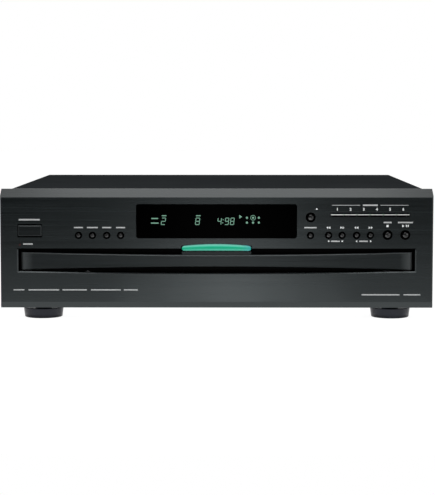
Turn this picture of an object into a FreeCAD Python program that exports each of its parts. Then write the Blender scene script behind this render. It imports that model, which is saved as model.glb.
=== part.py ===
import FreeCAD, Part

# Full-width six-disc carousel CD changer, in millimetres.
# Origin: centre of the base on the surface it stands on. +Z up, the front panel faces -Y, +X is right.

import os
from math import asin, atan2, cos, degrees, pi, radians, sin, sqrt, tan

os.makedirs("parts", exist_ok=True)

Vector = FreeCAD.Vector
UP = Vector(0, 0, 1)

# ---- overall sizes ----
width = 435.0
height = 131.0
depth = 431.0
knob_reach = 3.0  # how far the largest button domes stand in front of the panel face
jack_reach = 10.0  # how far the signal sockets stand behind the rear panel
sheet = 1.0  # steel sheet of the cover, pan and rear panel
slack = 0.1  # clearance of a screw or stub in its hole
running = 0.05  # radial clearance of a running fit
gap = 0.35  # clearance between a moving piece and the wall beside it

# ---- front panel ----
foot_height = 12.5
panel_drop = 1.0  # the panel's lower edge hangs this far below the pan
panel_depth = 16.0
panel_wall = 3.0
top_rise = 8.0
top_run = 14.0
bottom_rise = 6.1
bottom_run = 3.2
panel_corner = 2.0
boss_radius = 2.2

# ---- tray slot and drawer front ----
slot_flank = 9.5  # tray side to the slot's end
slot_height = 23.1
slot_bow = 1.8
slot_chamfer = 1.1
flange_gap = 0.9  # between the drawer's flange and the slot, all round
bar_end_gap = 2.5
bar_height = 17.5
bar_lift = 1.4  # bar above the slot's lower edge
bar_waist_top = 2.7
bar_waist_bottom = 3.6
bar_depth = 8.6
bar_corner = 5.5
bar_proud = 1.6  # bar's middle in front of the panel
bar_bow = 3.0  # bar's ends behind its middle
flange_thickness = 3.0

# ---- display and lamps ----
window_width = 161.5
window_height = 34.5
window_rise = 27.35  # middle of the window above the slot
window_corner = 2.5
window_fit = 0.25
tube_width = 146.0
tube_height = 29.0
lens_width = 69.5
lens_drop = 2.4  # how far the lens hangs into the slot
lens_height = 6.9
lens_arc = 2.0
lens_side_gap = 0.9
standby_x = -197.6
standby_rise = 3.5
standby_radius = 1.0

# ---- buttons ----
press_travel = 0.8
stem_radius = 1.6
flange_lip = 1.3
small_radius = 2.5
large_radius = 3.75
rim_slope = 0.9  # countersink around each round button
# each round button's place: x, and the height above the slot
small_places = {
    "repeat": (-138.6, 13.1),
    "random": (-124.6, 13.1),
    "memory": (-110.3, 13.1),
    "screen": (-96.3, 13.1),
    "disc_skip": (94.2, 13.1),
    "previous": (112.4, 13.3),
    "next": (125.9, 13.3),
    "rewind": (140.5, 13.3),
    "forward": (154.3, 13.3),
}
large_places = {
    "open": (94.4, 31.3),
    "stop": (171.5, 13.7),
    "play": (189.3, 13.7),
}
disc_count = 6
key_length = 12.4
key_pitch = 13.2
key_height = 1.7
key_x = 154.05  # middle of the row of disc keys
key_rise = 33.7
key_slot_height = 3.7
power_x = -187.5
power_rise = 17.7
power_width = 23.4
power_height = 10.4
power_recess = 1.4

# ---- front board ----
board_thickness = 1.6
board_setback = 12.0  # panel face to the board's front
board_height = 43.5
board_lift = 7.8  # board above the slot

# ---- cover, pan and feet ----
cover_inset = 2.5  # cover side behind the panel's edge
cover_step = 2.4  # cover top below the panel's top
pan_side = 15.0
pan_front = 26.0
foot_radius = 20.3
foot_base_radius = 19.2
foot_lip = 0.9  # rounding of a foot's lower edge
foot_neck_radius = 8.5
foot_neck = 2.5  # gap between a foot's body and the pan, spanned by its neck
foot_side_inset = 38.0  # cover side to a foot's centre
foot_front_inset = 25.5
foot_rear_inset = 45.5

# ---- tray ----
tray_travel = 240.0
tray_lift = 37.0  # underside of the cover pan to the underside of the tray
runner_width = 4.5
runner_height = 3.5
floor_thickness = 1.5
tray_side = 5.5  # carousel edge to the tray's side
tray_rear_space = 3.5
tray_deck_height = 16.5
tray_deck_thickness = 1.6
rail_wall = 3.0

# ---- carousel ----
carousel_setback = 204.5  # panel face to the carousel's centre
disc_radius = 60.0
disc_ring = 123.0  # carousel centre to each disc's centre
well_fit = 0.75
rim_margin = 1.5  # carousel edge outside the discs
carousel_clear = 0.5  # carousel above the tray's floor
carousel_height = 7.0
well_depth = 3.5
pocket_depth = 5.2
post_radius = 10.0
cap_radius = 33.0
cap_height = 3.4

# ---- gears ----
pressure_angle = 25.0
backlash = 0.3
rim_module = 2.5
rim_pinion_teeth = 12
rack_module = 1.5
rack_pinion_teeth = 14
drive_gear_teeth = 32
motor_pinion_teeth = 12
rack_inset = 40.0  # tray side to the rack
drive_setback = 44.5

# ---- pickup ----
lift_drop = 17.0  # how far the disc table drops when the pickup is lowered
hinge_x = 100.0
hinge_drop = 6.5  # hinge line below the tray
hinge_radius = 2.0
table_radius = 15.0
table_rise = 0.5  # raised disc table above the carousel's top
cone_radius = 7.3
cone_height = 2.4
sled_inner = 24.0
sled_travel = 34.0
rod_radius = 1.5
rod_x = 22.0
screw_radius = 1.6
frame_left = -42.0
pin_radius = 1.5
slider_travel = 30.0
slider_thickness = 2.0

# ---- clamp ----
puck_radius = 16.0
puck_gap = 2.0  # puck above the carousel's top
bridge_gap = 2.0  # bridge above the tray's deck
bridge_thickness = 2.0
bridge_depth = 40.0

# ---- rear connections ----
jack_radius = 4.15
jack_collar = 5.05  # radius of the shoulder behind each socket's sleeve
jack_shoulder = 1.2  # how far the shoulder stands behind the rear panel
audio_x = (136.0, 152.0)
audio_rise = 21.5  # each socket's height above the pan's underside
optical_x = 120.0
optical_rise = 21.5
remote_x = 172.0
remote_rise = (16.0, 28.0)
remote_bore = 1.8
bush_x = -165.0
bush_rise = 23.5
bush_radius = 6.0
cord_bore = 3.5

# ---- values that follow ----
cover_width = width - 2 * cover_inset
cover_top = height - cover_step
tray_bottom = foot_height + tray_lift
slot_bottom = tray_bottom - flange_gap
slot_top = slot_bottom + slot_height
bar_bottom = slot_bottom + bar_lift
bar_top = bar_bottom + bar_height
lens_bottom = slot_top - lens_drop
lens_top = lens_bottom + lens_height
board_bottom = slot_top + board_lift
board_top = board_bottom + board_height
carousel_radius = disc_ring + disc_radius + rim_margin
tray_half = carousel_radius + tray_side
slot_width = 2 * (tray_half + slot_flank)
bar_width = slot_width - 2 * bar_end_gap
window_z = slot_top + window_rise
standby_z = slot_top + standby_rise
key_z = slot_top + key_rise
power_z = slot_top + power_rise
small_buttons = {name: (x, slot_top + rise) for name, (x, rise) in small_places.items()}
large_buttons = {name: (x, slot_top + rise) for name, (x, rise) in large_places.items()}
# the rim's teeth stay under the carousel's edge
rim_teeth = int(2 * (carousel_radius - 2.0) / rim_module) - 2
tray_deck_top = tray_bottom + tray_deck_height
front_y = -depth / 2 + knob_reach  # panel face
rear_y = depth / 2 - jack_reach  # outer face of the rear panel
inside_y = front_y + panel_wall  # back of the panel's front wall
panel_back = front_y + panel_depth
panel_bottom = foot_height - panel_drop
pan_top = foot_height + sheet
cover_inner = cover_width / 2 - sheet
centre_y = front_y + carousel_setback
tray_rear = centre_y + carousel_radius + tray_rear_space
drive_y = front_y + drive_setback
foot_x = cover_width / 2 - foot_side_inset
foot_front_y = front_y + foot_front_inset
foot_rear_y = rear_y - foot_rear_inset
hinge_z = tray_bottom - hinge_drop
board_y = front_y + board_setback
play_y = centre_y + disc_ring
audio_z = foot_height + audio_rise
optical_z = foot_height + optical_rise
remote_z = [foot_height + rise for rise in remote_rise]
bush_z = foot_height + bush_rise
rack_x = rack_inset - tray_half
drive_x = rack_x - rack_module * rack_pinion_teeth / 2
motor_pinion_y = drive_y + rack_module * (drive_gear_teeth + motor_pinion_teeth) / 2
table_arm = hinge_x
lift_angle = degrees(asin(lift_drop / table_arm))
floor_top = tray_bottom + runner_height - 1.0 + floor_thickness
carousel_bottom = floor_top + carousel_clear
carousel_top = carousel_bottom + carousel_height
table_top = carousel_top + table_rise
puck_bottom = carousel_top + puck_gap
bridge_bottom = tray_deck_top + bridge_gap
bridge_top = bridge_bottom + bridge_thickness
rail_inner = tray_half + runner_width + 0.5
flange_y = front_y + 7.5
tray_front_y = flange_y + flange_thickness
slider_x = frame_left - 6.0
pin_y = play_y - 20.0
rim_pinion_reach = rim_module * (rim_teeth + rim_pinion_teeth) / 2


# ---- helpers ----
def box(x0, x1, y0, y1, z0, z1):
    return Part.makeBox(x1 - x0, y1 - y0, z1 - z0, Vector(x0, y0, z0))


def upright(x, y, radius, z0, z1):
    return Part.makeCylinder(radius, z1 - z0, Vector(x, y, z0), UP)


def along_y(x, z, radius, y0, y1):
    return Part.makeCylinder(radius, y1 - y0, Vector(x, y0, z), Vector(0, 1, 0))


def along_x(y, z, radius, x0, x1):
    return Part.makeCylinder(radius, x1 - x0, Vector(x0, y, z), Vector(1, 0, 0))


def cone_y(x, z, front_radius, back_radius, y0, y1):
    return Part.makeCone(front_radius, back_radius, y1 - y0, Vector(x, y0, z), Vector(0, 1, 0))


def prism(points, direction):
    wire = Part.makePolygon([Vector(*p) for p in points + points[:1]])
    return Part.Face(wire).extrude(Vector(*direction))


def revolve(profile, x=0.0, y=0.0, z=0.0):
    """Turn (radius, height) points about the upright line through x, y."""
    wire = Part.makePolygon([Vector(r, 0, h) for r, h in profile + profile[:1]])
    solid = Part.Face(wire).revolve(Vector(0, 0, 0), UP, 360)
    return solid.translated(Vector(x, y, z))


def round_box(x, z, wide, tall, radius, y0, y1):
    """A block with rounded corners seen from the front."""
    block = box(x - wide / 2, x + wide / 2, y0, y1, z - tall / 2, z + tall / 2)
    edges = [e for e in block.Edges if abs(e.tangentAt(e.FirstParameter).y) > 0.9]
    return block.makeFillet(radius, edges)


def join(shapes):
    first = shapes[0]
    return first.multiFuse(shapes[1:]).removeSplitter() if len(shapes) > 1 else first


def cut(shape, tools):
    return shape.cut(tools)


def turned(shape, angle, centre=Vector(0, 0, 0), axis=UP):
    copy = shape.copy()
    copy.rotate(centre, axis, angle)
    return copy


def save(name, shapes):
    parts = shapes if isinstance(shapes, list) else [shapes]
    solids = [s for part in parts for s in part.Solids]
    for solid in solids:
        if not solid.isValid() or solid.Volume <= 0:
            raise ValueError(name + " is not a valid solid")
    out = solids[0] if len(solids) == 1 else Part.makeCompound(solids)
    out.exportStep("parts/" + name + ".step")


def gear(module, teeth, z0, z1, phase=0.0, flank_steps=4):
    """A spur gear about the origin, with a tooth centred at the angle phase (degrees)."""
    pitch = module * teeth / 2
    outer = pitch + 0.9 * module
    root = pitch - 1.2 * module
    base = pitch * cos(radians(pressure_angle))
    start = max(root, base)
    half_tooth = (pi * module / 2 - backlash / 2) / (2 * pitch)
    involute = lambda r: sqrt((r / base) ** 2 - 1) - atan2(sqrt((r / base) ** 2 - 1), 1)
    points = []
    for i in range(teeth):
        middle = radians(phase) + 2 * pi * i / teeth
        radii = [start + (outer - start) * k / flank_steps for k in range(flank_steps + 1)]
        spread = [half_tooth + involute(pitch) - involute(max(r, base)) for r in radii]
        rise = [(r, middle - s) for r, s in zip(radii, spread)]
        fall = [(r, middle + s) for r, s in zip(radii, spread)][::-1]
        foot = [(root, middle - spread[0])] if root < start else []
        heel = [(root, middle + spread[0])] if root < start else []
        points += foot + rise + fall + heel
    return prism([(r * cos(a), r * sin(a), z0) for r, a in points], (0, 0, z1 - z0))


# ---- casework ----
def panel_shell():
    """The moulded front with its sloping top and bottom edges, open at the back."""
    side = width / 2

    def outline(inset):
        y0 = front_y + inset
        top = height - 0.6 * inset
        return [
            (panel_back, panel_bottom + inset),
            (front_y + max(bottom_run, inset), panel_bottom + inset),
            (y0, panel_bottom + bottom_rise + 0.3 * inset),
            (y0, height - top_rise - 0.6 * inset),
            (y0 + top_run, top),
            (panel_back, top),
        ]

    outer = prism([(-side, y, z) for y, z in outline(0)], (2 * side, 0, 0))
    corners = [
        e
        for e in outer.Edges
        if abs(e.CenterOfMass.y - front_y) < 0.01 and abs(abs(e.CenterOfMass.x) - side) < 0.01
    ]
    outer = outer.makeFillet(panel_corner, corners)
    half = side - panel_wall + 0.5
    inner_points = [(-half, y, z) for y, z in outline(panel_wall)]
    inner_points[0] = (-half, panel_back + 1, inner_points[0][2])
    inner_points[-1] = (-half, panel_back + 1, inner_points[-1][2])
    return cut(outer, [prism(inner_points, (2 * half, 0, 0))])


def slot_tool(grow, y0, y1):
    """The drawer opening: straight top, bottom edge bowed down in the middle."""
    half = slot_width / 2 + grow
    top = slot_top + grow
    low = slot_bottom - grow
    a = Vector(-half, y0, low)
    b = Vector(half, y0, low)
    arc = Part.Arc(a, Vector(0, y0, low - slot_bow), b).toShape()
    sides = [Vector(half, y0, low), Vector(half, y0, top), Vector(-half, y0, top), Vector(-half, y0, low)]
    lines = [Part.makeLine(p, q) for p, q in zip(sides, sides[1:])]
    return Part.Wire([arc] + lines)


def arch_wire(half, low, high, drop, y):
    """Outline with a flat bottom and an arched top, for the lamp lens and its opening."""
    a = Vector(-half, y, high - drop)
    b = Vector(half, y, high - drop)
    arc = Part.Arc(a, Vector(0, y, high), b).toShape()
    corners = [b, Vector(half, y, low), Vector(-half, y, low), a]
    lines = [Part.makeLine(p, q) for p, q in zip(corners, corners[1:])]
    return Part.Wire([arc] + lines)


def slot_cutters():
    through = Part.Face(slot_tool(0, 0, 0)).extrude(Vector(0, panel_wall + 2, 0))
    through.translate(Vector(0, front_y - 1, 0))
    wide = slot_tool(slot_chamfer, front_y - 0.01, 0)
    narrow = slot_tool(0, front_y + slot_chamfer, 0)
    bevel = Part.makeLoft([wide, narrow], True, True)
    # the bevel runs along the sides and the lower edge only
    keep = box(-width, width, front_y - 1, front_y + 3, slot_bottom - 5, slot_top)
    return [through, bevel.common(keep)]


def round_hole(x, z, radius):
    hole = along_y(x, z, radius + gap, front_y - 1, inside_y + 1)
    mouth = cone_y(x, z, radius + gap + rim_slope, radius + gap, front_y, front_y + rim_slope)
    return [hole, mouth]


def boss_places():
    return [(x, board_top - boss_radius - 0.6) for x in (-200, -150, -96, 96, 200)]


def make_front_panel():
    panel = panel_shell()
    tools = slot_cutters()
    tools.append(round_box(0, window_z, window_width, window_height, window_corner, front_y - 1, inside_y + 1))
    lens_hole = Part.Face(
        arch_wire(lens_width / 2 + lens_side_gap, lens_bottom, lens_top + 0.3, lens_arc, front_y - 1)
    )
    tools.append(lens_hole.extrude(Vector(0, panel_wall + 2, 0)))
    for x, z in small_buttons.values():
        tools += round_hole(x, z, small_radius)
    for x, z in large_buttons.values():
        tools += round_hole(x, z, large_radius)
    half = disc_count * key_pitch / 2
    tools.append(
        box(key_x - half, key_x + half, front_y - 1, inside_y + 1, key_z - key_slot_height / 2,
            key_z + key_slot_height / 2)
    )
    tools.append(
        round_box(power_x, power_z, power_width + 2 * gap, power_height + 2 * gap, 0.8, front_y - 1, inside_y + 1)
    )
    tools.append(
        round_box(power_x, power_z, power_width + 1.4, power_height + 3.1, 1.0, front_y - 1,
                  front_y + power_recess)
    )
    tools.append(along_y(standby_x, standby_z, standby_radius + slack, front_y - 1, inside_y + 1))
    panel = cut(panel, tools)
    bosses = [along_y(x, z, boss_radius, inside_y - 0.5, board_y) for x, z in boss_places()]
    save("front_panel", join([panel] + bosses))


def screw(x, y, z, direction, grip, head_radius=3.6, head=2.0):
    """A round-head sheet-metal screw: the head sits at x, y, z and the shank runs along direction."""
    way = Vector(*direction)
    base = Vector(x, y, z)
    shank = Part.makeCylinder(1.5, grip, base, way)
    dome = Part.makeCylinder(head_radius, head, base - way * head, way)
    edge = [e for e in dome.Edges if (e.CenterOfMass - (base - way * head)).Length < 0.01]
    dome = dome.makeFillet(head * 0.6, edge[:1])
    tip = base - way * head
    cross = []
    for wide, tall in ((2.0, 0.4), (0.4, 2.0)):
        if abs(way.y) > 0.5:
            cross.append(box(x - wide, x + wide, tip.y - 1, tip.y + 1, z - tall, z + tall))
        else:
            cross.append(box(tip.x - 1, tip.x + 1, y - wide, y + wide, z - tall, z + tall))
    return cut(join([shank, dome]), cross)


side_screw_y = (front_y + 92.5, rear_y - 65.5)
side_screw_z = foot_height + 9.0
rear_screw_x = (-170.0, 0.0, 170.0)
rear_screw_z = cover_top - 5.5


def make_top_cover():
    half = cover_width / 2
    front = panel_back
    rear = rear_y + sheet
    shell = box(-half, half, front, rear, foot_height, cover_top)
    edges = [
        e
        for e in shell.Edges
        if abs(e.CenterOfMass.z - cover_top) < 0.01 and abs(e.CenterOfMass.x) > half - 0.01
    ]
    shell = shell.makeFillet(2.0, edges)
    hollow = box(-half + sheet, half - sheet, front - 1, rear_y, foot_height - 1, cover_top - sheet)
    open_back = box(-half + sheet, half - sheet, rear_y - 1, rear + 1, foot_height - 1, cover_top - 11)
    holes = []
    for y in side_screw_y:
        holes.append(along_x(y, side_screw_z, 1.5 + slack, -half - 1, half + 1))
    for x in rear_screw_x:
        holes.append(along_y(x, rear_screw_z, 1.5 + slack, rear_y - 1, rear + 1))
    save("top_cover", cut(shell, [hollow, open_back] + holes))


def make_case_screws():
    half = cover_width / 2
    screws = []
    for y in side_screw_y:
        screws.append(screw(-half, y, side_screw_z, (1, 0, 0), 5.0))
        screws.append(screw(half, y, side_screw_z, (-1, 0, 0), 5.0))
    for x in rear_screw_x:
        screws.append(screw(x, rear_y + sheet, rear_screw_z, (0, -1, 0), 5.0))
    save("case_screws", screws)




def make_chassis_pan():
    half = cover_inner
    plate = box(-half, half, panel_back, rear_y - sheet, foot_height, pan_top)
    walls = [
        box(-half, -half + sheet, panel_back, rear_y - sheet, foot_height, foot_height + pan_side),
        box(half - sheet, half, panel_back, rear_y - sheet, foot_height, foot_height + pan_side),
        box(-half, half, panel_back, panel_back + sheet, foot_height, foot_height + pan_front),
        box(-half, half, rear_y - 2 * sheet, rear_y - sheet, foot_height, foot_height + pan_side),
    ]
    posts = [upright(x, y, 3.0, pan_top - 0.5, pan_top + 6.5) for x, y in board_posts]
    pan = join([plate] + walls + posts)
    # the rear wall is open behind the sockets
    holes = [box(board_x[0] - 4, board_x[1] + 4, rear_y - 3, rear_y, pan_top, foot_height + pan_side + 1)]
    for y in side_screw_y:
        holes.append(along_x(y, side_screw_z, 1.5 + slack, -half - 1, half + 1))
    for x in (-foot_x, foot_x):
        for y in (foot_front_y, foot_rear_y):
            holes.append(upright(x, y, 2.5 + slack, foot_height - 1, pan_top + 1))
    for row in range(2):
        for i in range(9):
            x = 118 + 8 * i
            y = rear_y - 185 + 60 * row
            holes.append(box(x, x + 3, y, y + 35, foot_height - 1, pan_top + 1))
    save("chassis_pan", cut(pan, holes))


def make_feet():
    shoulder = foot_height - foot_neck
    rim = [
        (foot_base_radius - foot_lip * (1 - sin(radians(a))), foot_lip * (1 - cos(radians(a))))
        for a in range(0, 91, 15)
    ]
    outline = [(0, 0)] + rim + [
        (foot_radius, shoulder - 0.6),
        (foot_radius - 0.6, shoulder),
        (foot_neck_radius, shoulder),
        (foot_neck_radius, foot_height),
        (2.5, foot_height),
        (2.5, pan_top + 2),
        (0, pan_top + 2),
    ]
    feet = []
    for x in (-foot_x, foot_x):
        for y in (foot_front_y, foot_rear_y):
            feet.append(revolve(outline, x, y))
    save("feet", feet)


def make_rear_panel():
    half = cover_inner
    plate = box(-half, half, rear_y - sheet, rear_y, foot_height, cover_top - sheet)
    holes = [
        along_y(x, audio_z, jack_collar + slack, rear_y - 2, rear_y + 1) for x in audio_x
    ]
    hole = 5.0 + slack
    holes.append(box(optical_x - hole, optical_x + hole, rear_y - 2, rear_y + 1, optical_z - hole,
                     optical_z + hole))
    holes += [along_y(remote_x, z, 3.2 + slack, rear_y - 2, rear_y + 1) for z in remote_z]
    holes.append(along_y(bush_x, bush_z, bush_radius + slack, rear_y - 2, rear_y + 1))
    holes += [along_y(x, rear_screw_z, 1.5 + slack, rear_y - 2, rear_y + 1) for x in rear_screw_x]
    for row in range(3):
        for i in range(14):
            x = -100 + 12 * i
            z = 84 + 8 * row
            holes.append(box(x, x + 8, rear_y - 2, rear_y + 1, z, z + 3))
    save("rear_panel", cut(plate, holes))


# ---- display and lamps ----
def make_display():
    fit = window_fit
    pane = round_box(0, window_z, window_width - 2 * fit, window_height - 2 * fit, window_corner - fit,
                     front_y + 0.3, inside_y + 0.5)
    lip = box(-window_width / 2 - 2.5, window_width / 2 + 2.5, inside_y, inside_y + 1.2,
              window_z - window_height / 2 - 2.2, window_z + window_height / 2 + 2.2)
    save("display_window", join([pane, lip]))
    tube = box(-tube_width / 2, tube_width / 2, board_y - 6.5, board_y, window_z - tube_height / 2,
               window_z + tube_height / 2)
    tip = along_x(board_y - 3.2, window_z, 1.6, tube_width / 2 - 0.5, tube_width / 2 + 3)
    save("display_tube", join([tube, tip]))


def make_lamp_lens():
    front = front_y - 1.6
    body = Part.Face(arch_wire(lens_width / 2, lens_bottom, lens_top, lens_arc, front))
    body = body.extrude(Vector(0, inside_y + 1.5 - front, 0))
    # the front bulges: it is cut back to a shallow upright barrel
    reach = lens_top - lens_bottom
    barrel_radius = 9.0
    barrel = along_x(front + barrel_radius, lens_bottom + 0.42 * reach, barrel_radius, -lens_width, lens_width)
    block = box(-lens_width, lens_width, front + barrel_radius, inside_y + 5, lens_bottom - 5, lens_top + 5)
    body = body.common(join([barrel, block]))
    lip = box(-lens_width / 2 - 3, lens_width / 2 + 3, inside_y, inside_y + 1.5, slot_top + 1, lens_top + 2.5)
    save("lamp_lens", join([body, lip]))


def make_standby_lamp():
    rod = along_y(standby_x, standby_z, standby_radius, front_y + 0.1, inside_y + 0.5)
    body = box(standby_x - 2, standby_x + 2, inside_y, inside_y + 5, standby_z - 2, standby_z + 2)
    save("standby_lamp", join([rod, body]))


def switch(x, z):
    base = box(x - 3, x + 3, board_y - 3.4, board_y + 0.4, z - 3, z + 3)
    return join([base, along_y(x, z, 1.7, stem_end + press_travel + 0.2, board_y - 3)])


stem_end = board_y - 6.0


def key_places():
    first = key_x - key_pitch * (disc_count - 1) / 2
    return [(first + key_pitch * i, key_z) for i in range(disc_count)]


def make_front_board():
    half = width / 2 - 11.5
    plate = box(-half, half, board_y, board_y + board_thickness, board_bottom, board_top)
    tongue = box(-30, 30, board_y, board_y + board_thickness, slot_top + 1.5, board_bottom + 1)
    places = list(small_buttons.values()) + list(large_buttons.values()) + key_places()
    places.append((power_x, power_z))
    lamps = []
    for x in (-20, 0, 20):
        lamps.append(along_y(x, slot_top + 3.8, 1.5, inside_y + 2.1, board_y + 0.4))
    save("front_board", join([plate, tongue] + lamps + [switch(x, z) for x, z in places]))


# ---- buttons ----
def round_button(x, z, radius, reach):
    flat = radius * 0.35
    front = front_y - reach
    dome_height = radius * 0.42
    rise = Part.Arc(
        Vector(0, 0, 0),
        Vector(radius * 0.6, 0, -dome_height * 0.24),
        Vector(radius, 0, -dome_height),
    ).toShape()
    points = [(radius, -dome_height), (radius, -reach - panel_wall), (radius + flange_lip, -reach - panel_wall),
              (radius + flange_lip, -reach - panel_wall - 1), (stem_radius, -reach - panel_wall - 1),
              (stem_radius, stem_start(reach)), (0, stem_start(reach)), (0, 0)]
    lines = [Part.makeLine(Vector(a, 0, b), Vector(c, 0, d)) for (a, b), (c, d) in zip(points, points[1:])]
    profile = Part.Face(Part.Wire([rise] + lines))
    solid = profile.revolve(Vector(0, 0, 0), UP, 360)
    solid.rotate(Vector(0, 0, 0), Vector(1, 0, 0), 90)
    return solid.translated(Vector(x, front, z))


def stem_start(reach):
    return -(stem_end - front_y + reach)


def make_round_buttons():
    for name, (x, z) in small_buttons.items():
        save("button_" + name, round_button(x, z, small_radius, 2.0))
    for name, (x, z) in large_buttons.items():
        save("button_" + name, round_button(x, z, large_radius, knob_reach))


def make_disc_keys():
    for i, (x, z) in enumerate(key_places()):
        half = key_length / 2
        bar = box(x - half, x + half, front_y - 1.2, inside_y + 0.5, z - key_height / 2, z + key_height / 2)
        edges = [e for e in bar.Edges if abs(e.CenterOfMass.y - (front_y - 1.2)) < 0.01]
        bar = bar.makeFillet(0.35, edges)
        lip = box(x - half, x + half, inside_y, inside_y + 1, z - key_slot_height / 2 - 0.9,
                  z + key_slot_height / 2 + 0.9)
        stem = along_y(x, z, stem_radius, inside_y + 0.5, stem_end)
        save("button_disc_" + str(i + 1), join([bar, lip, stem]))


def make_power_button():
    wide = power_width
    tall = power_height
    cap = round_box(power_x, power_z, wide, tall, 0.8, front_y - 0.8, inside_y + 0.5)
    edges = [e for e in cap.Edges if abs(e.CenterOfMass.y - (front_y - 0.8)) < 0.01]
    cap = cap.makeChamfer(0.6, edges)
    lip = box(power_x - wide / 2 - 1, power_x + wide / 2 + 1, inside_y, inside_y + 1,
              power_z - tall / 2 - 1, power_z + tall / 2 + 1)
    stem = along_y(power_x, power_z, stem_radius, inside_y + 0.5, stem_end)
    save("button_power", join([cap, lip, stem]))


# ---- tray ----
def window_tools(z0, z1, extra):
    """The opening under the disc in the play position, for the disc table and the laser sled."""
    radius = table_radius + 3 + extra
    half = 13.0 + extra
    inner = sled_inner + sled_travel + 8.0 + extra
    return [upright(0, play_y, radius, z0, z1), box(-half, half, play_y - inner, play_y, z0, z1)]


def make_tray():
    back = tray_rear
    floor = box(-tray_half, tray_half, tray_front_y, back, floor_top - floor_thickness, floor_top)
    runners = []
    for side in (-1, 1):
        outer = side * (tray_half + runner_width)
        inner = side * (tray_half - 2.5)
        low, high = sorted((outer, inner))
        runners.append(box(low, high, tray_front_y, back, tray_bottom, tray_bottom + runner_height))
        low, high = sorted((side * tray_half, side * (tray_half - 2.5)))
        runners.append(box(low, high, tray_front_y, back, tray_bottom, tray_deck_top))
    walls = [
        box(-tray_half, tray_half, tray_front_y, tray_front_y + 2.5, tray_bottom + 1, tray_deck_top),
        box(-tray_half, tray_half, back - 2, back, tray_bottom + 1, tray_deck_top),
    ]
    deck = box(-tray_half, tray_half, tray_front_y, back, tray_deck_top - tray_deck_thickness, tray_deck_top)
    ring = carousel_radius + 2.0
    tray = join([floor, deck] + runners + walls)
    tray = cut(tray, [upright(0, centre_y, ring, floor_top, height)])
    # the rear wall is low in the middle, where it passes under the clamp puck
    low_middle = box(-70, 70, play_y, back + 1, carousel_top - 1.0, height)
    tray = cut(tray, [low_middle] + window_tools(tray_bottom - 1, floor_top + 1, 1.5))
    post = upright(0, centre_y, post_radius, floor_top - 0.5, carousel_top - 0.6)
    shoulder = upright(0, centre_y, post_radius + 6, floor_top - 0.5, carousel_bottom)
    x, y = rim_pinion_place()
    pin = upright(x, y, 1.5, floor_top - 0.5, motor_bottom)
    save("tray", join([tray, post, shoulder, rack(), pin]))


def rack():
    """Straight teeth under the tray, facing the drive pinion on their left."""
    pitch = pi * rack_module
    high = 0.9 * rack_module
    low = 1.2 * rack_module
    half = (pitch / 2 - backlash / 2) / 2
    slope = tan(radians(pressure_angle))
    first = int((tray_front_y + 6 - drive_y) / pitch) + 1
    last = int((tray_travel + 8) / pitch) + 1
    back = rack_x + low + 3
    points = [(back, drive_y + (first - 0.5) * pitch), (rack_x + low, drive_y + (first - 0.5) * pitch)]
    for i in range(first, last + 1):
        y = drive_y + i * pitch
        points += [
            (rack_x + low, y - half - low * slope),
            (rack_x - high, y - half + high * slope),
            (rack_x - high, y + half - high * slope),
            (rack_x + low, y + half + low * slope),
        ]
    points += [(rack_x + low, drive_y + (last + 0.5) * pitch), (back, drive_y + (last + 0.5) * pitch)]
    lowest = tray_bottom + 0.1
    return prism([(x, y, lowest) for x, y in points], (0, 0, floor_top - floor_thickness + 0.2 - lowest))


def flat_bar():
    """The drawer's metal bar: waisted seen from the front, bowed seen from above, ends rounded back."""
    y0 = front_y - bar_proud
    y1 = flange_y
    half = bar_width / 2
    top_mid = Vector(0, y0, bar_top - bar_waist_top)
    low_mid = Vector(0, y0, bar_bottom + bar_waist_bottom)
    corners = [Vector(-half, y0, bar_top), Vector(half, y0, bar_top), Vector(half, y0, bar_bottom),
               Vector(-half, y0, bar_bottom)]
    top_arc = Part.Arc(corners[0], top_mid, corners[1]).toShape()
    low_arc = Part.Arc(corners[2], low_mid, corners[3]).toShape()
    outline = Part.Wire([top_arc, Part.makeLine(corners[1], corners[2]), low_arc,
                         Part.makeLine(corners[3], corners[0])])
    front = Part.Face(outline).extrude(Vector(0, y1 - y0, 0))
    reach = (half**2 + bar_bow**2) / (2 * bar_bow)
    drum = Part.makeCylinder(reach, height, Vector(0, y0 + reach, 0), Vector(0, 0, 1), 360)
    drum.rotate(Vector(0, y0 + reach, 0), Vector(0, 0, 1), 90)
    solid = front.common(drum)
    edges = [e for e in solid.Edges if e.Length > half / 2 and e.CenterOfMass.y < y0 + bar_bow]
    solid = solid.makeChamfer(0.7, edges)
    # the ends are rounded back
    corner_y = y0 + bar_bow * ((half - bar_corner) / half) ** 2 + bar_corner
    tools = []
    for side in (-1, 1):
        x = side * (half - bar_corner)
        block = box(min(x, side * half * 1.1), max(x, side * half * 1.1), y0 - 1, corner_y, 0, height)
        tools.append(cut(block, [upright(x, corner_y, bar_corner, -1, height + 1)]))
    return cut(solid, tools)


def make_tray_front():
    flange = Part.Face(slot_tool(-flange_gap, flange_y, 0)).extrude(Vector(0, flange_thickness, 0))
    lens_pass = lens_width / 2 + lens_side_gap + 0.6
    flange = cut(flange, [box(-lens_pass, lens_pass, flange_y - 1, tray_front_y + 1, lens_bottom - 0.7, height)])
    save("tray_front", flange)
    tab_half = lens_width / 2
    tab = box(-tab_half, tab_half, front_y + 0.4, flange_y, bar_top - bar_waist_top - 1.5, lens_bottom - 0.9)
    save("tray_bar", join([flat_bar(), tab]))


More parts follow.
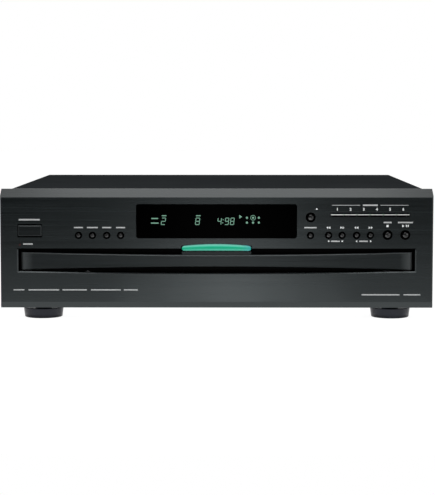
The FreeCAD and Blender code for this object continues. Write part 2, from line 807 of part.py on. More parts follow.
def rail(side):
    """One side rail: a wall on the pan with a shelf under the tray's runner and a lip over it."""
    inner = rail_inner
    wall = box(inner, inner + rail_wall, panel_back + 2.5, tray_rear + 5, pan_top, tray_bottom + runner_height + 6)
    foot = box(inner - 8, inner + rail_wall, panel_back + 2.5, tray_rear + 5, pan_top, pan_top + 2.5)
    shelf = box(tray_half - 0.5, inner + 0.5, panel_back + 2.5, tray_rear + 5, tray_bottom - 3, tray_bottom)
    lip = box(tray_half + 1.5, inner + 0.5, panel_back + 2.5, tray_rear + 5,
              tray_bottom + runner_height + 0.2, tray_bottom + runner_height + 3)
    solid = join([wall, foot, shelf, lip])
    clear = []
    for y in (foot_front_y, foot_rear_y):
        clear.append(upright(foot_x, y, 5, pan_top - 1, pan_top + 8))
    for y in side_screw_y:
        clear.append(along_x(y, side_screw_z, 3.0, inner - 1, inner + 20))
    solid = cut(solid, clear)
    return solid if side > 0 else solid.mirror(Vector(0, 0, 0), Vector(1, 0, 0))


def make_rails():
    save("right_tray_rail", rail(1))
    save("left_tray_rail", rail(-1))


# ---- carousel ----
def well_places():
    return [(disc_ring * sin(radians(60 * i)), centre_y + disc_ring * cos(radians(60 * i))) for i in range(6)]


rim_angle = -45.0
rim_top = carousel_bottom + 3.4
rim_clear = 0.25
motor_bottom = carousel_bottom + 4.2


def rim_pinion_place():
    return (rim_pinion_reach * cos(radians(rim_angle)), centre_y + rim_pinion_reach * sin(radians(rim_angle)))


def make_carousel():
    # a gap between two teeth of the rim faces the pinion
    rim = gear(rim_module, rim_teeth, carousel_bottom, rim_top, rim_angle + 180 / rim_teeth, 1)
    rim.translate(Vector(0, centre_y, 0))
    top = upright(0, centre_y, carousel_radius, rim_top, carousel_top)
    edges = [e for e in top.Edges if e.Length > 100 and abs(e.CenterOfMass.z - carousel_top) < 0.01]
    top = top.makeFillet(0.8, edges)
    body = rim.fuse(top)
    well = upright(0, play_y, disc_radius + well_fit, carousel_top - well_depth, carousel_top + 1)
    pocket = upright(0, play_y, disc_radius - 4.0, carousel_top - pocket_depth, carousel_top)
    # a finger notch beside each disc, at the outer rim
    notch = upright(0, play_y + disc_radius + 2.0, 11.0, carousel_top - pocket_depth, carousel_top + 1)
    tools = []
    for i in range(disc_count):
        angle = 360.0 * i / disc_count
        for piece in [well, pocket, notch] + window_tools(carousel_bottom - 1, carousel_top + 1, 0):
            tools.append(turned(piece, angle, Vector(0, centre_y, 0)))
        web = upright(0, centre_y + 160, 15, carousel_bottom - 1, carousel_top - 2.0)
        tools.append(turned(web, angle + 30, Vector(0, centre_y, 0)))
    tools.append(upright(0, centre_y, post_radius + running, carousel_bottom - 1, carousel_top + 1))
    save("carousel", cut(body, tools))


def make_carousel_cap():
    edge = cap_radius
    dome = [
        (0, carousel_top),
        (edge, carousel_top),
        (edge, carousel_top + 1.0),
        (edge - 1.2, carousel_top + 2.2),
        (edge - 9.0, carousel_top + cap_height),
        (0, carousel_top + cap_height),
    ]
    cap = revolve(dome, 0, centre_y)
    hollow = upright(0, centre_y, 3.2, carousel_top + cap_height - 1.2, carousel_top + cap_height + 1)
    save("carousel_cap", cut(cap, [hollow]))


def make_carousel_drive():
    x, y = rim_pinion_place()
    # the pinion has a tooth pointing at the carousel's centre
    pinion = gear(rim_module, rim_pinion_teeth, carousel_bottom + 0.2, rim_top - rim_clear, rim_angle + 180)
    pinion = pinion.translated(Vector(x, y, 0))
    pinion = cut(pinion, [upright(x, y, 1.5 + running, 0, height)])
    save("carousel_pinion", pinion)
    motor = upright(x, y, 8.6, motor_bottom, tray_deck_top - tray_deck_thickness)
    tab = box(x - 3, x + 3, y - 12.5, y, tray_deck_top - tray_deck_thickness - 1.2,
              tray_deck_top - tray_deck_thickness)
    save("carousel_motor", join([motor, tab]))


# ---- tray drive and base moulding ----
deck_top = pan_top + 2.0
drive_gear_z = (tray_bottom - 6.5, tray_bottom - 3.5)


def pickup_cutout():
    return box(slider_x + 3, hinge_x - 8, play_y - 82, play_y + 38, pan_top - 1, deck_top + 1)


def make_mechanism_deck():
    front = box(drive_x - 6.5, hinge_x + 12, panel_back + 4, centre_y - 52, pan_top, deck_top)
    rear = box(slider_x - 14, hinge_x + 12, centre_y - 62, play_y + 52, pan_top, deck_top)
    body = join([front, rear]).cut([pickup_cutout()])
    parts = [body]
    for y in hinge_post_y():
        post = box(hinge_x - 5, hinge_x + 5, y - 2, y + 2, deck_top - 0.5, hinge_z + 5)
        parts.append(post)
    for y0, y1 in ((pin_y - 52, pin_y - 44), (pin_y + 40, pin_y + 48)):
        for x in (slider_x - slider_thickness / 2 - 2.2, slider_x + slider_thickness / 2 + 0.2):
            parts.append(box(x, x + 2, y0, y1, deck_top - 0.5, deck_top + 4))
    parts.append(upright(drive_x, drive_y, 6.0, deck_top - 0.5, drive_gear_z[0] - 0.3))
    parts.append(upright(drive_x, drive_y, 2.0, deck_top, tray_bottom - 0.3))
    cup = upright(drive_x, motor_pinion_y, 15.0, deck_top - 0.5, deck_top + 6)
    parts.append(cup)
    body = join(parts)
    tools = [along_y(hinge_x, hinge_z, hinge_radius + running, y - 3, y + 3) for y in hinge_post_y()]
    tools.append(upright(drive_x, motor_pinion_y, 12.0 + slack, deck_top + 1, deck_top + 8))
    save("mechanism_deck", cut(body, tools))


def hinge_post_y():
    return (play_y - 80.0, play_y + 42.0)


def mesh_phase():
    """Turns the motor pinion so that its gap faces a tooth of the drive gear."""
    return 90.0 + 180.0 + 180.0 / motor_pinion_teeth


def make_tray_drive():
    low, high = drive_gear_z
    wheel = gear(rack_module, drive_gear_teeth, low, high, 90.0)
    # a gap of the upper pinion faces the rack tooth at its own height
    top = gear(rack_module, rack_pinion_teeth, high - 0.1, floor_top - floor_thickness - 0.3,
               180.0 / rack_pinion_teeth)
    both = wheel.fuse(top).removeSplitter().translated(Vector(drive_x, drive_y, 0))
    save("tray_gear", cut(both, [upright(drive_x, drive_y, 2.0 + running, 0, height)]))
    pinion = gear(rack_module, motor_pinion_teeth, low, high, mesh_phase())
    pinion = pinion.translated(Vector(drive_x, motor_pinion_y, 0))
    pinion = cut(pinion, [upright(drive_x, motor_pinion_y, 1.0 + running, 0, height)])
    save("tray_motor_pinion", pinion)
    can = upright(drive_x, motor_pinion_y, 12.0, deck_top + 1, low - 2.0)
    nose = upright(drive_x, motor_pinion_y, 4.0, low - 2.5, low - 0.2)
    shaft = upright(drive_x, motor_pinion_y, 1.0, low - 1, high + 0.5)
    save("tray_motor", join([can, nose, shaft]))


# ---- pickup unit, drawn raised and level, then lowered about its hinge ----
hinge_point = Vector(hinge_x, 0, hinge_z)
frame_z = (hinge_z - 0.5, hinge_z + 2.0)
rod_z = tray_bottom - 2.1
lens_y = play_y - sled_inner


def lowered(shape):
    return turned(shape, -lift_angle, hinge_point, Vector(0, 1, 0))


def make_pickup_frame():
    low, high = frame_z
    y0 = play_y - 76.0
    y1 = play_y + 38.0
    plate = box(frame_left, hinge_x, y0, y1, low, high)
    skirt = box(frame_left, hinge_x - 8, y0, y1, low - 2.0, low + 0.5)
    skirt = cut(skirt, [box(frame_left + 2, hinge_x - 10, y0 + 2, y1 - 2, low - 3, low + 1)])
    parts = [plate, skirt]
    parts.append(along_y(hinge_x, hinge_z, hinge_radius + 1.8, y0, y1))
    ends = hinge_post_y()
    parts.append(along_y(hinge_x, hinge_z, hinge_radius, ends[0] - 2.5, ends[1] + 2.5))
    parts.append(along_x(pin_y, hinge_z, pin_radius, frame_left - 11.0, frame_left + 1))
    for y in (y0 + 1, play_y - 14.5):
        for x in (-rod_x, rod_x):
            parts.append(box(x - 3, x + 3, y, y + 3, high - 0.5, tray_bottom - 0.5))
    parts.append(box(screw_x - 3, screw_x + 3, y0 + 1, y0 + 4, high - 0.5, tray_bottom - 0.5))
    body = join(parts)
    tools = [box(-rod_x + 4, rod_x - 4, y0 + 5, play_y - 14.5, low - 3, high + 1)]
    tools.append(upright(0, play_y, 8.0, low - 3, high + 1))
    tools.append(box(45, 84, y0 + 12, y1 - 12, low - 3, high + 1))
    for x in (-rod_x, rod_x):
        tools.append(along_y(x, rod_z, rod_radius, y0, play_y))
    tools.append(along_y(screw_x, rod_z, screw_radius + running, y0, y0 + 6))
    save("pickup_frame", lowered(cut(body, tools)))


screw_x = rod_x + 9.0


def make_sled_drive():
    y0 = play_y - 76.0
    rods = [along_y(x, rod_z, rod_radius, y0 + 1, play_y - 11.5) for x in (-rod_x, rod_x)]
    save("guide_rods", [lowered(r) for r in rods])
    screw_end = play_y - 12.0
    turns = [along_y(screw_x, rod_z, screw_radius, y0 + 2, screw_end)]
    for i in range(24):
        groove = Part.makeTorus(screw_radius + 0.15, 0.4, Vector(screw_x, y0 + 10 + 2.0 * i, rod_z), Vector(0, 1, 0))
        turns.append(groove)
    save("lead_screw", lowered(turns[0].cut(turns[1:])))
    motor = along_y(screw_x + 0.0, rod_z - 0.0, 5.0, screw_end + 1.0, screw_end + 20.0)
    motor = cut(motor, [box(0, 90, 0, 200, tray_bottom - 0.5, height)])
    seat = box(screw_x - 5, screw_x + 5, screw_end + 3, screw_end + 18, frame_z[1], rod_z - 2)
    bore = along_y(screw_x, rod_z, screw_radius + 0.3, screw_end, screw_end + 2)
    motor = cut(join([motor, seat]), [bore, box(0, 90, 0, 200, 0, frame_z[1])])
    save("sled_motor", lowered(motor))


def make_laser_sled():
    y = lens_y
    base = box(-rod_x - 4, rod_x + 4, y - 9, y + 6, frame_z[1] + 0.5, tray_bottom - 0.3)
    top = table_top - 4.5
    below = box(-12, 12, y - 8, y + 5, frame_z[0] - 4.5, frame_z[1] + 1)
    head = box(-10, 10, y - 6.5, y + 6.0, tray_bottom - 1, top)
    head_edges = [e for e in head.Edges if abs(e.CenterOfMass.z - top) < 0.01]
    head = head.makeChamfer(0.8, head_edges)
    ring = upright(0, y, 4.2, top - 0.5, top + 1.0)
    lens = Part.makeSphere(4.5, Vector(0, y, top - 2.0)).common(upright(0, y, 3.0, top + 0.5, top + 3.0))
    arm = box(rod_x, screw_x - screw_radius - gap, y - 5, y + 2, frame_z[1] + 0.5, tray_bottom - 0.3)
    body = join([base, below, head, ring, lens, arm])
    tools = [along_y(x, rod_z, rod_radius + running, y - 20, y + 20) for x in (-rod_x, rod_x)]
    tools.append(along_y(screw_x, rod_z, screw_radius + gap, y - 20, y + 20))
    save("laser_sled", lowered(cut(body, tools)))


def make_spindle():
    low, high = frame_z
    can = upright(0, play_y, 11.5, low - 8.5, low)
    neck = upright(0, play_y, 7.8, low - 0.5, high + 3.0)
    shaft = upright(0, play_y, 1.0, high + 2, table_top - 1.5)
    save("spindle_motor", lowered(join([can, neck, shaft])))
    outline = [
        (0, table_top - 6.5),
        (6.0, table_top - 6.5),
        (6.0, table_top - 3.0),
        (table_radius, table_top - 3.0),
        (table_radius, table_top),
        (cone_radius + 0.6, table_top),
        (cone_radius, table_top + 0.6),
        (cone_radius - 1.8, table_top + cone_height),
        (0, table_top + cone_height),
    ]
    table = revolve(outline, 0, play_y)
    table = cut(table, [upright(0, play_y, 1.0 + running, 0, table_top - 1.0)])
    save("disc_table", lowered(table))


def make_lift_slider():
    """A sliding plate whose sloping slot lifts the pin on the pickup frame."""
    x = slider_x
    t = slider_thickness / 2
    low_z = hinge_z - (hinge_x - slider_x) * sin(radians(lift_angle))
    plate = box(x - t, x + t, pin_y - slider_travel - 16, pin_y + 14, deck_top, tray_bottom - 1.0)
    foot = box(x - t, x + t, pin_y - slider_travel - 28, pin_y + 42, deck_top, deck_top + 5.5)
    slot_half = pin_radius + 0.55
    a = (pin_y, low_z)
    b = (pin_y - slider_travel, hinge_z)
    run = sqrt((b[0] - a[0]) ** 2 + (b[1] - a[1]) ** 2)
    ny = -(b[1] - a[1]) / run * slot_half
    nz = (b[0] - a[0]) / run * slot_half
    corners = [(a[0] + ny, a[1] + nz), (b[0] + ny, b[1] + nz), (b[0] - ny, b[1] - nz), (a[0] - ny, a[1] - nz)]
    groove = prism([(x - t - 1, y, z) for y, z in corners], (2 * t + 2, 0, 0))
    ends = [along_x(y, z, slot_half, x - t - 1, x + t + 1) for y, z in (a, b)]
    save("lift_slider", cut(join([plate, foot]), [groove] + ends))


# ---- disc clamp ----
def make_clamp():
    inner = rail_inner
    outer = inner + rail_wall
    y0 = play_y - bridge_depth / 2
    y1 = play_y + bridge_depth / 2
    beam = box(-outer, outer, y0, y1, bridge_bottom, bridge_top)
    parts = [beam]
    for y in (y0, y1 - 1.5):
        parts.append(box(-outer, outer, y, y + 1.5, bridge_bottom, bridge_top + 9))
    rail_top = tray_bottom + runner_height + 6
    for side in (-1, 1):
        low, high = sorted((side * inner, side * outer))
        parts.append(box(low, high, y0, y1, rail_top, bridge_top))
    ring = upright(0, play_y, 16.0, bridge_bottom, bridge_top)
    body = join(parts + [ring])
    save("clamp_bridge", cut(body, [upright(0, play_y, 8.5, 0, height)]))
    puck = [
        (0, puck_bottom),
        (puck_radius, puck_bottom),
        (puck_radius, puck_bottom + 2.2),
        (7.5, puck_bottom + 3.2),
        (7.5, bridge_top),
        (12.5, bridge_top),
        (12.5, bridge_top + 1.4),
        (10.5, bridge_top + 2.4),
        (0, bridge_top + 2.4),
    ]
    solid = revolve(puck, 0, play_y)
    recess = Part.makeCone(cone_radius + 1.4, cone_radius - 0.6, cone_height + 0.8,
                           Vector(0, play_y, puck_bottom), UP)
    save("clamp_puck", cut(solid, [recess]))


# ---- electronics ----
board_z = pan_top + 6.5
board_x = (116.0, rail_inner - 11.0)
board_y_range = (rear_y - 245.5, rear_y - 8.5)
board_posts = [
    (x, y)
    for x in (board_x[0] + 8, board_x[1] - 6)
    for y in (board_y_range[0] + 10, board_y_range[1] - 11)
]


def make_main_board():
    top = board_z + board_thickness
    plate = box(board_x[0], board_x[1], board_y_range[0], board_y_range[1], board_z, top)
    y = board_y_range[0]
    chips = [box(130, 142, y + 60, y + 72, top - 0.3, top + 2), box(152, 168, y + 100, y + 110, top - 0.3, top + 2.5),
             box(126, 146, y + 140, y + 148, top - 0.3, top + 3)]
    header = [box(120, 124, y + 20, y + 50, top - 0.3, top + 8), box(174, 178, y + 130, y + 158, top - 0.3, top + 8)]
    save("main_board", join([plate] + chips + header))
    y = board_y_range[0]
    cans = []
    for x, back, radius, tall in ((164, 50, 5, 16), (164, 26, 5, 16), (150, 32, 4, 12), (132, 100, 3, 10),
                                  (160, 170, 4, 12), (136, 170, 4, 12), (150, 190, 3, 10)):
        can = upright(x, y + back, radius, top, top + tall)
        rim = [e for e in can.Edges if abs(e.CenterOfMass.z - top - tall) < 0.01 and e.Closed]
        cans.append(can.makeFillet(0.6, rim[:1]))
    save("board_capacitors", cans)


def make_transformer():
    x, y = -138.0, rear_y - 45.5
    core = box(x - 21, x + 21, y - 9, y + 9, pan_top + 1, pan_top + 34)
    coil = box(x - 12, x + 12, y - 17, y + 17, pan_top + 7, pan_top + 28)
    coil = coil.makeFillet(3.0, [e for e in coil.Edges if abs(e.tangentAt(e.FirstParameter).z) > 0.9])
    foot = box(x - 29, x + 29, y - 7, y + 7, pan_top, pan_top + 1.5)
    save("power_transformer", join([core, coil, foot]))


def make_sockets():
    top = board_z + board_thickness
    inner_y = rear_y - sheet
    low, high = audio_x
    body = box(low - 7.5, high + 7.5, inner_y - 12, inner_y, top, audio_z + 8)
    shells = [along_y(x, audio_z, jack_radius, rear_y, rear_y + jack_reach) for x in audio_x]
    shells += [along_y(x, audio_z, jack_collar, inner_y - 1, rear_y + jack_shoulder) for x in audio_x]
    bores = [along_y(x, audio_z, 1.7, rear_y, rear_y + jack_reach + 1) for x in audio_x]
    grooves = []
    for x in audio_x:
        ring = along_y(x, audio_z, jack_radius - 0.6, rear_y + 1.5, rear_y + jack_reach + 1)
        grooves.append(ring.cut(along_y(x, audio_z, 2.9, rear_y, rear_y + jack_reach + 2)))
    save("audio_jacks", cut(join([body] + shells), bores + grooves))
    block = box(optical_x - 5, optical_x + 5, inner_y - 11, inner_y - 0.2, top, optical_z + 5)
    nose = box(optical_x - 5, optical_x + 5, inner_y - 1, rear_y + 0.6, optical_z - 5, optical_z + 5)
    port = box(optical_x - 3, optical_x + 3, rear_y - 6, rear_y + 1, optical_z - 3, optical_z + 3)
    save("optical_jack", cut(join([block, nose]), [port]))
    stack = box(remote_x - 5, remote_x + 5, inner_y - 13, inner_y, top, remote_z[1] + 5)
    collars = [along_y(remote_x, z, 3.2, inner_y - 1, rear_y + 1.2) for z in remote_z]
    bores = [along_y(remote_x, z, remote_bore, inner_y - 10, rear_y + 2) for z in remote_z]
    save("remote_jacks", cut(join([stack] + collars), bores))


def make_cord_bush():
    """The gland that the mains cord would leave through; the cord itself is not part of the model."""
    inner_y = rear_y - sheet
    body = along_y(bush_x, bush_z, bush_radius, inner_y - 4, rear_y + 1)
    outside = cone_y(bush_x, bush_z, bush_radius + 2.2, bush_radius + 0.6, rear_y, rear_y + 4.5)
    clip = along_y(bush_x, bush_z, bush_radius + 1.6, inner_y - 4, inner_y)
    bore = along_y(bush_x, bush_z, cord_bore, inner_y - 5, rear_y + 6)
    save("cord_bush", cut(join([body, outside, clip]), [bore]))


make_front_panel()
make_top_cover()
make_case_screws()
make_chassis_pan()
make_feet()
make_rear_panel()
make_display()
make_lamp_lens()
make_standby_lamp()
make_front_board()
make_round_buttons()
make_disc_keys()
make_power_button()
make_tray()
make_tray_front()
make_rails()
make_carousel()
make_carousel_cap()
make_carousel_drive()
make_mechanism_deck()
make_tray_drive()
make_pickup_frame()
make_sled_drive()
make_laser_sled()
make_spindle()
make_lift_slider()
make_clamp()
make_main_board()
make_transformer()
make_sockets()
make_cord_bush()
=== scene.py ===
from math import cos, pi, radians, sin

import bmesh
import bpy
from mathutils import Matrix, Vector


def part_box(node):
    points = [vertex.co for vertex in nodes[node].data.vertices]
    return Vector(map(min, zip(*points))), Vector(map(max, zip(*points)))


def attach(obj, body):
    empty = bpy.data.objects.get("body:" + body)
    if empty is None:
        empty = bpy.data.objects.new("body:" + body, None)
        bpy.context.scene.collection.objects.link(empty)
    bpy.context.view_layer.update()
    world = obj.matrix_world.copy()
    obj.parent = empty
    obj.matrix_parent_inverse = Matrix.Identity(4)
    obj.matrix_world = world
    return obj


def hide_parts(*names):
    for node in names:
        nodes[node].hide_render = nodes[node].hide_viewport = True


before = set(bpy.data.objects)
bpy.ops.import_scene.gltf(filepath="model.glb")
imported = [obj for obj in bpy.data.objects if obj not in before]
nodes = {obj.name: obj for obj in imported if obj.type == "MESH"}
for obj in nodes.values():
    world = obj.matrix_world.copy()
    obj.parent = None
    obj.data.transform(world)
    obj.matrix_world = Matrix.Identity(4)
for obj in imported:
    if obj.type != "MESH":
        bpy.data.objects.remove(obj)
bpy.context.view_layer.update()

# ---- Camera ----
# A long lens about 1.6 m in front of the player, a little above it and looking slightly down,
# so that the front is nearly square on and the top shows as a thin strip.
front_lens = bpy.data.cameras.new("front_view")
front_lens.lens = 117.6
front_lens.sensor_width = 36.0
camera = bpy.data.objects.new("front_view", front_lens)
camera.location = (0.0112, -1.8302, 0.2115)
camera.rotation_euler = (radians(90 - 4.905), 0, radians(0.362))
bpy.context.scene.collection.objects.link(camera)
bpy.context.scene.camera = camera
bpy.context.scene.view_settings.view_transform = "Standard"

# ---- Table ----
# The player stands on a broad white table. It stays white to the lens and in reflections,
# and keeps the soft shadow around the feet.


class Level:
    """A number that changes over a surface. Sums on it become shader nodes."""

    def __init__(self, finish, socket):
        self.finish, self.socket = finish, socket

    def sum(self, operation, first, second):
        return self.finish.node("ShaderNodeMath", {"operation": operation}, {0: first, 1: second})

    def __add__(self, other):
        return self.sum("ADD", self, other)

    def __sub__(self, other):
        return self.sum("SUBTRACT", self, other)

    def __rsub__(self, other):
        return self.sum("SUBTRACT", other, self)

    def __mul__(self, other):
        return self.sum("MULTIPLY", self, other)

    def __truediv__(self, other):
        return self.sum("DIVIDE", self, other)

    def __rtruediv__(self, other):
        return self.sum("DIVIDE", other, self)

    def __abs__(self):
        return self.sum("ABSOLUTE", self, 0)

    def over(self, edge):
        return self.sum("GREATER_THAN", self, edge)

    __radd__, __rmul__ = __add__, __mul__


class Finish:
    """One finish. Values that are the same all over it are given when it is made."""

    def __init__(self, name, fixed=()):
        self.material = bpy.data.materials.new(name)
        self.material.use_nodes = True
        self.tree = self.material.node_tree
        self.surface = self.tree.nodes["Principled BSDF"]
        for socket, value in dict(fixed).items():
            self.fill(self.surface.inputs[socket], value)

    def fill(self, socket, value):
        if isinstance(value, Level):
            self.tree.links.new(value.socket, socket)
        elif isinstance(value, tuple) and len(value) == 3 and socket.type == "RGBA":
            socket.default_value = (*value, 1.0)
        else:
            socket.default_value = value

    def node(self, kind, settings, inputs, output=0):
        made = self.tree.nodes.new(kind)
        for name, value in settings.items():
            if name == "stops":
                steps = made.color_ramp.elements
                steps.remove(steps[1])
                steps[0].position, steps[0].color = value[0][0], (*value[0][1], 1.0)
                for place, shade in value[1:]:
                    steps.new(place).color = (*shade, 1.0)
            else:
                setattr(made, name, value)
        for name, value in inputs.items():
            self.fill(made.inputs[name], value)
        return Level(self, made.outputs[output])

    def place(self, stretch=(1.0, 1.0, 1.0)):
        spot = self.node("ShaderNodeTexCoord", {}, {}, "Object")
        return self.node("ShaderNodeMapping", {}, {"Vector": spot, "Scale": stretch})

    def axes(self):
        spot = self.place()
        return [self.node("ShaderNodeSeparateXYZ", {}, {0: spot}, axis) for axis in "XYZ"]

    def noise(self, stretch, detail=2.0):
        """Cloudy variation from 0 to 1, with stretch in cycles a metre along each axis."""
        if not isinstance(stretch, tuple):
            stretch = (stretch,) * 3
        inputs = {"Vector": self.place(stretch), "Scale": 1.0, "Detail": detail}
        return self.node("ShaderNodeTexNoise", {}, inputs, "Fac")

    def ramp(self, level, *stops):
        return self.node("ShaderNodeValToRGB", {"stops": stops}, {"Fac": level})

    def blend(self, share, first, second):
        inputs = {0: share, 6: first, 7: second}
        return self.node("ShaderNodeMix", {"data_type": "RGBA"}, inputs, 2)

    def vary(self, socket, level):
        self.fill(self.surface.inputs[socket], level)

    def dull(self, share, shade):
        """Where share is 1, the surface is a plain dull one of this shade."""
        flat = self.tree.nodes.new("ShaderNodeBsdfDiffuse")
        flat.inputs["Color"].default_value = (*shade, 1.0)
        mixed = self.tree.nodes.new("ShaderNodeMixShader")
        self.fill(mixed.inputs["Fac"], share)
        self.tree.links.new(self.surface.outputs[0], mixed.inputs[1])
        self.tree.links.new(flat.outputs[0], mixed.inputs[2])
        self.tree.links.new(mixed.outputs[0], self.tree.nodes["Material Output"].inputs["Surface"])

    def rough(self, level, depth, strength=0.5):
        inputs = {"Height": level, "Distance": depth, "Strength": strength}
        self.vary("Normal", self.node("ShaderNodeBump", {}, inputs, "Normal"))


def white_to_the_lens(tree, lit, plain):
    """Mixes the lit shader with a plain white one, where the lens, glass or a gloss looks."""
    path = tree.nodes.new("ShaderNodeLightPath")
    seen = path.outputs["Is Camera Ray"]
    for ray in ("Is Glossy Ray", "Is Transmission Ray"):
        either = tree.nodes.new("ShaderNodeMath")
        either.operation = "MAXIMUM"
        tree.links.new(seen, either.inputs[0])
        tree.links.new(path.outputs[ray], either.inputs[1])
        seen = either.outputs[0]
    mixed = tree.nodes.new("ShaderNodeMixShader")
    tree.links.new(seen, mixed.inputs["Fac"])
    tree.links.new(lit, mixed.inputs[1])
    tree.links.new(plain, mixed.inputs[2])
    return mixed.outputs[0]


def studio_sheet(name, place, finish):
    """A flat sheet of the studio, 2 m each way before its place stretches it."""
    mesh = bmesh.new()
    bmesh.ops.create_grid(mesh, x_segments=1, y_segments=1, size=1.0, matrix=place)
    data = bpy.data.meshes.new(name)
    mesh.to_mesh(data)
    mesh.free()
    data.materials.append(finish.material)
    made = bpy.data.objects.new(name, data)
    bpy.context.scene.collection.objects.link(made)
    return made


table_glow, table_shade = 0.94, 0.2
white = Finish("table_white", {"Base Color": (0.8, 0.8, 0.8), "Roughness": 0.6})
glow = white.tree.nodes.new("ShaderNodeEmission")
glow.inputs["Strength"].default_value = table_glow
faint = white.tree.nodes.new("ShaderNodeBsdfDiffuse")
faint.inputs["Color"].default_value = (table_shade, table_shade, table_shade, 1.0)
both = white.tree.nodes.new("ShaderNodeAddShader")
white.tree.links.new(glow.outputs[0], both.inputs[0])
white.tree.links.new(faint.outputs[0], both.inputs[1])
shown = white_to_the_lens(white.tree, white.surface.outputs[0], both.outputs[0])
white.tree.links.new(shown, white.tree.nodes["Material Output"].inputs["Surface"])
table_place = Matrix.Translation((0, 2.6, 0)) @ Matrix.Diagonal((6.0, 3.45, 1.0, 1.0))
table = studio_sheet("table", table_place, white)

# ---- Studio light ----
# Soft boxes stand overhead, at each side and high in front, in an even pale surround. Cards on
# the table and below it shine in the middle of the front, and one close to the panel shines in
# its lower slope. A strip above lights the upper slope, and a small lamp at the right the keys.


def box_light(name, place, aim, wide, tall, power):
    lamp = bpy.data.lights.new(name, "AREA")
    lamp.shape = "RECTANGLE"
    lamp.size, lamp.size_y, lamp.energy = wide, tall, power
    holder = bpy.data.objects.new(name, lamp)
    holder.location = place
    direction = Vector(aim) - Vector(place)
    holder.rotation_euler = direction.to_track_quat("-Z", "Y").to_euler()
    bpy.context.scene.collection.objects.link(holder)
    holder.visible_camera = False
    return holder


table_gap = 0.003  # cards float just clear of the table
box_light("overhead_box", (0.0, 0.45, 1.25), (0.0, 0.0, 0.1), 0.66, 0.7, 1.55)
for name, side in (("left_box", -1), ("right_box", 1)):
    box_light(name, (1.3 * side, -0.65, 0.4), (0.0, -0.1, 0.05), 0.5, 0.7, 3.6)
box_light("front_box", (0.0, -1.0, 1.15), (0.0, -0.2, 0.05), 1.2, 0.6, 7.0)
card_x, card_y = 0.016, -0.58
for width, power in ((0.06, 0.09), (0.14, 0.2), (0.24, 0.38)):  # stacked, the narrowest lowest
    height = table_gap + 0.01 * width
    box_light("table_card", (card_x, card_y, height), (card_x, card_y, 1.0), width, 0.6, power)
box_light("sill_card", (0.0, -0.255, table_gap), (0.0, -0.255, 1.0), 0.46, 0.12, 0.1)
box_light("middle_card", (0.0, -1.48, -0.05), (0.0, 0.0, -0.05), 0.16, 0.6, 0.4)
box_light("edge_strip", (0.0, -0.34, 1.35), (0.0, -0.2, 0.05), 1.0, 0.12, 2.2)
box_light("key_card", (0.8, -1.2, 0.36), (0.1, -0.2, 0.08), 0.2, 0.2, 1.7)

studio = bpy.data.worlds.new("studio")
studio.use_nodes = True
bpy.context.scene.world = studio
surround = studio.node_tree
even = surround.nodes["Background"]
even.inputs["Color"].default_value = (1.0, 1.0, 1.0, 1.0)
even.inputs["Strength"].default_value = 0.35
bright = surround.nodes.new("ShaderNodeBackground")
bright.inputs["Strength"].default_value = 1.0
bright.inputs["Color"].default_value = (1.0, 1.0, 1.0, 1.0)
seen_world = white_to_the_lens(surround, even.outputs[0], bright.outputs[0])
surround.links.new(seen_world, surround.nodes["World Output"].inputs["Surface"])

# A dark curtain hangs behind the lens, so that the upright front stays black above the table's
# own reflection. The lens never sees it.
curtain_cloth = Finish("curtain_cloth", {"Base Color": (0.02, 0.02, 0.02), "Roughness": 0.9,
                                         "Specular IOR Level": 0.0})
upright = Matrix.Rotation(radians(90), 4, "X")
curtain_size = Matrix.Diagonal((4.0, 2.0, 1.0, 1.0))
curtain = studio_sheet("curtain", Matrix.Translation((0, -1.5, 0.5)) @ upright @ curtain_size,
                       curtain_cloth)
curtain.visible_camera = False
curtain.visible_shadow = False

# ---- Chassis pan ----
# The base and low side walls are one pressed sheet of zinc-plated steel, with vents pierced
# under the works. The cover and the rear panel screw to it.


def dress(finish, *names):
    for name in names:
        for place in nodes[name].material_slots:
            place.material = finish.material


def plated_steel(name, tone, grain, base_rough=0.34):
    """Bright plated sheet with the rolling grain that runs along it and faint cloudy patches."""
    steel = Finish(name, {"Metallic": 1.0})
    clouds = steel.noise(45.0, 3.0)
    rolled = steel.noise(grain, 3.0)
    light = tuple(1.1 * c for c in tone)
    dark = tuple(0.86 * c for c in tone)
    steel.vary("Base Color", steel.ramp(clouds * 0.6 + rolled * 0.4, (0.3, dark), (0.7, light)))
    steel.vary("Roughness", base_rough - 0.1 + 0.2 * rolled)
    steel.rough(rolled, 0.00003, 0.25)
    return steel


pan_steel = plated_steel("pan_zinc", (0.56, 0.57, 0.58), (30.0, 1500.0, 1500.0))
dress(pan_steel, "chassis_pan")

# ---- Feet ----
# Four round feet of blue-black plastic with a smooth moulded skin. Their stubs pass through
# the pan and hold them from above.
foot_gloss = Finish("foot_plastic", {"Specular IOR Level": 0.2})
foot_flow = foot_gloss.noise(120.0)
foot_dark, foot_light = (0.005, 0.0065, 0.0115), (0.008, 0.0105, 0.018)
foot_gloss.vary("Base Color", foot_gloss.ramp(foot_flow, (0.35, foot_dark), (0.7, foot_light)))
foot_gloss.vary("Roughness", 0.2 + 0.1 * foot_flow)
foot_gloss.rough(foot_gloss.noise(900.0), 0.00002, 0.2)
dress(foot_gloss, "feet")

# ---- Rear panel ----
# A flat sheet of steel with a fine baked black paint, screwed to the pan and the cover.


def baked_paint(name, tone, speck=1100.0, gloss=0.42):
    """Black paint baked on steel, with the fine pebbled skin that such paint dries to."""
    paint = Finish(name, {"Specular IOR Level": 0.3})
    pebbles = paint.noise(speck, 3.0)
    clouds = paint.noise(25.0)
    light = tuple(1.35 * c for c in tone)
    paint.vary("Base Color", paint.ramp(pebbles * 0.5 + clouds * 0.5, (0.35, tone), (0.65, light)))
    paint.vary("Roughness", gloss + 0.12 * pebbles)
    paint.rough(pebbles, 0.00005, 0.35)
    return paint


rear_paint = baked_paint("rear_paint", (0.022, 0.022, 0.024))
dress(rear_paint, "rear_panel")

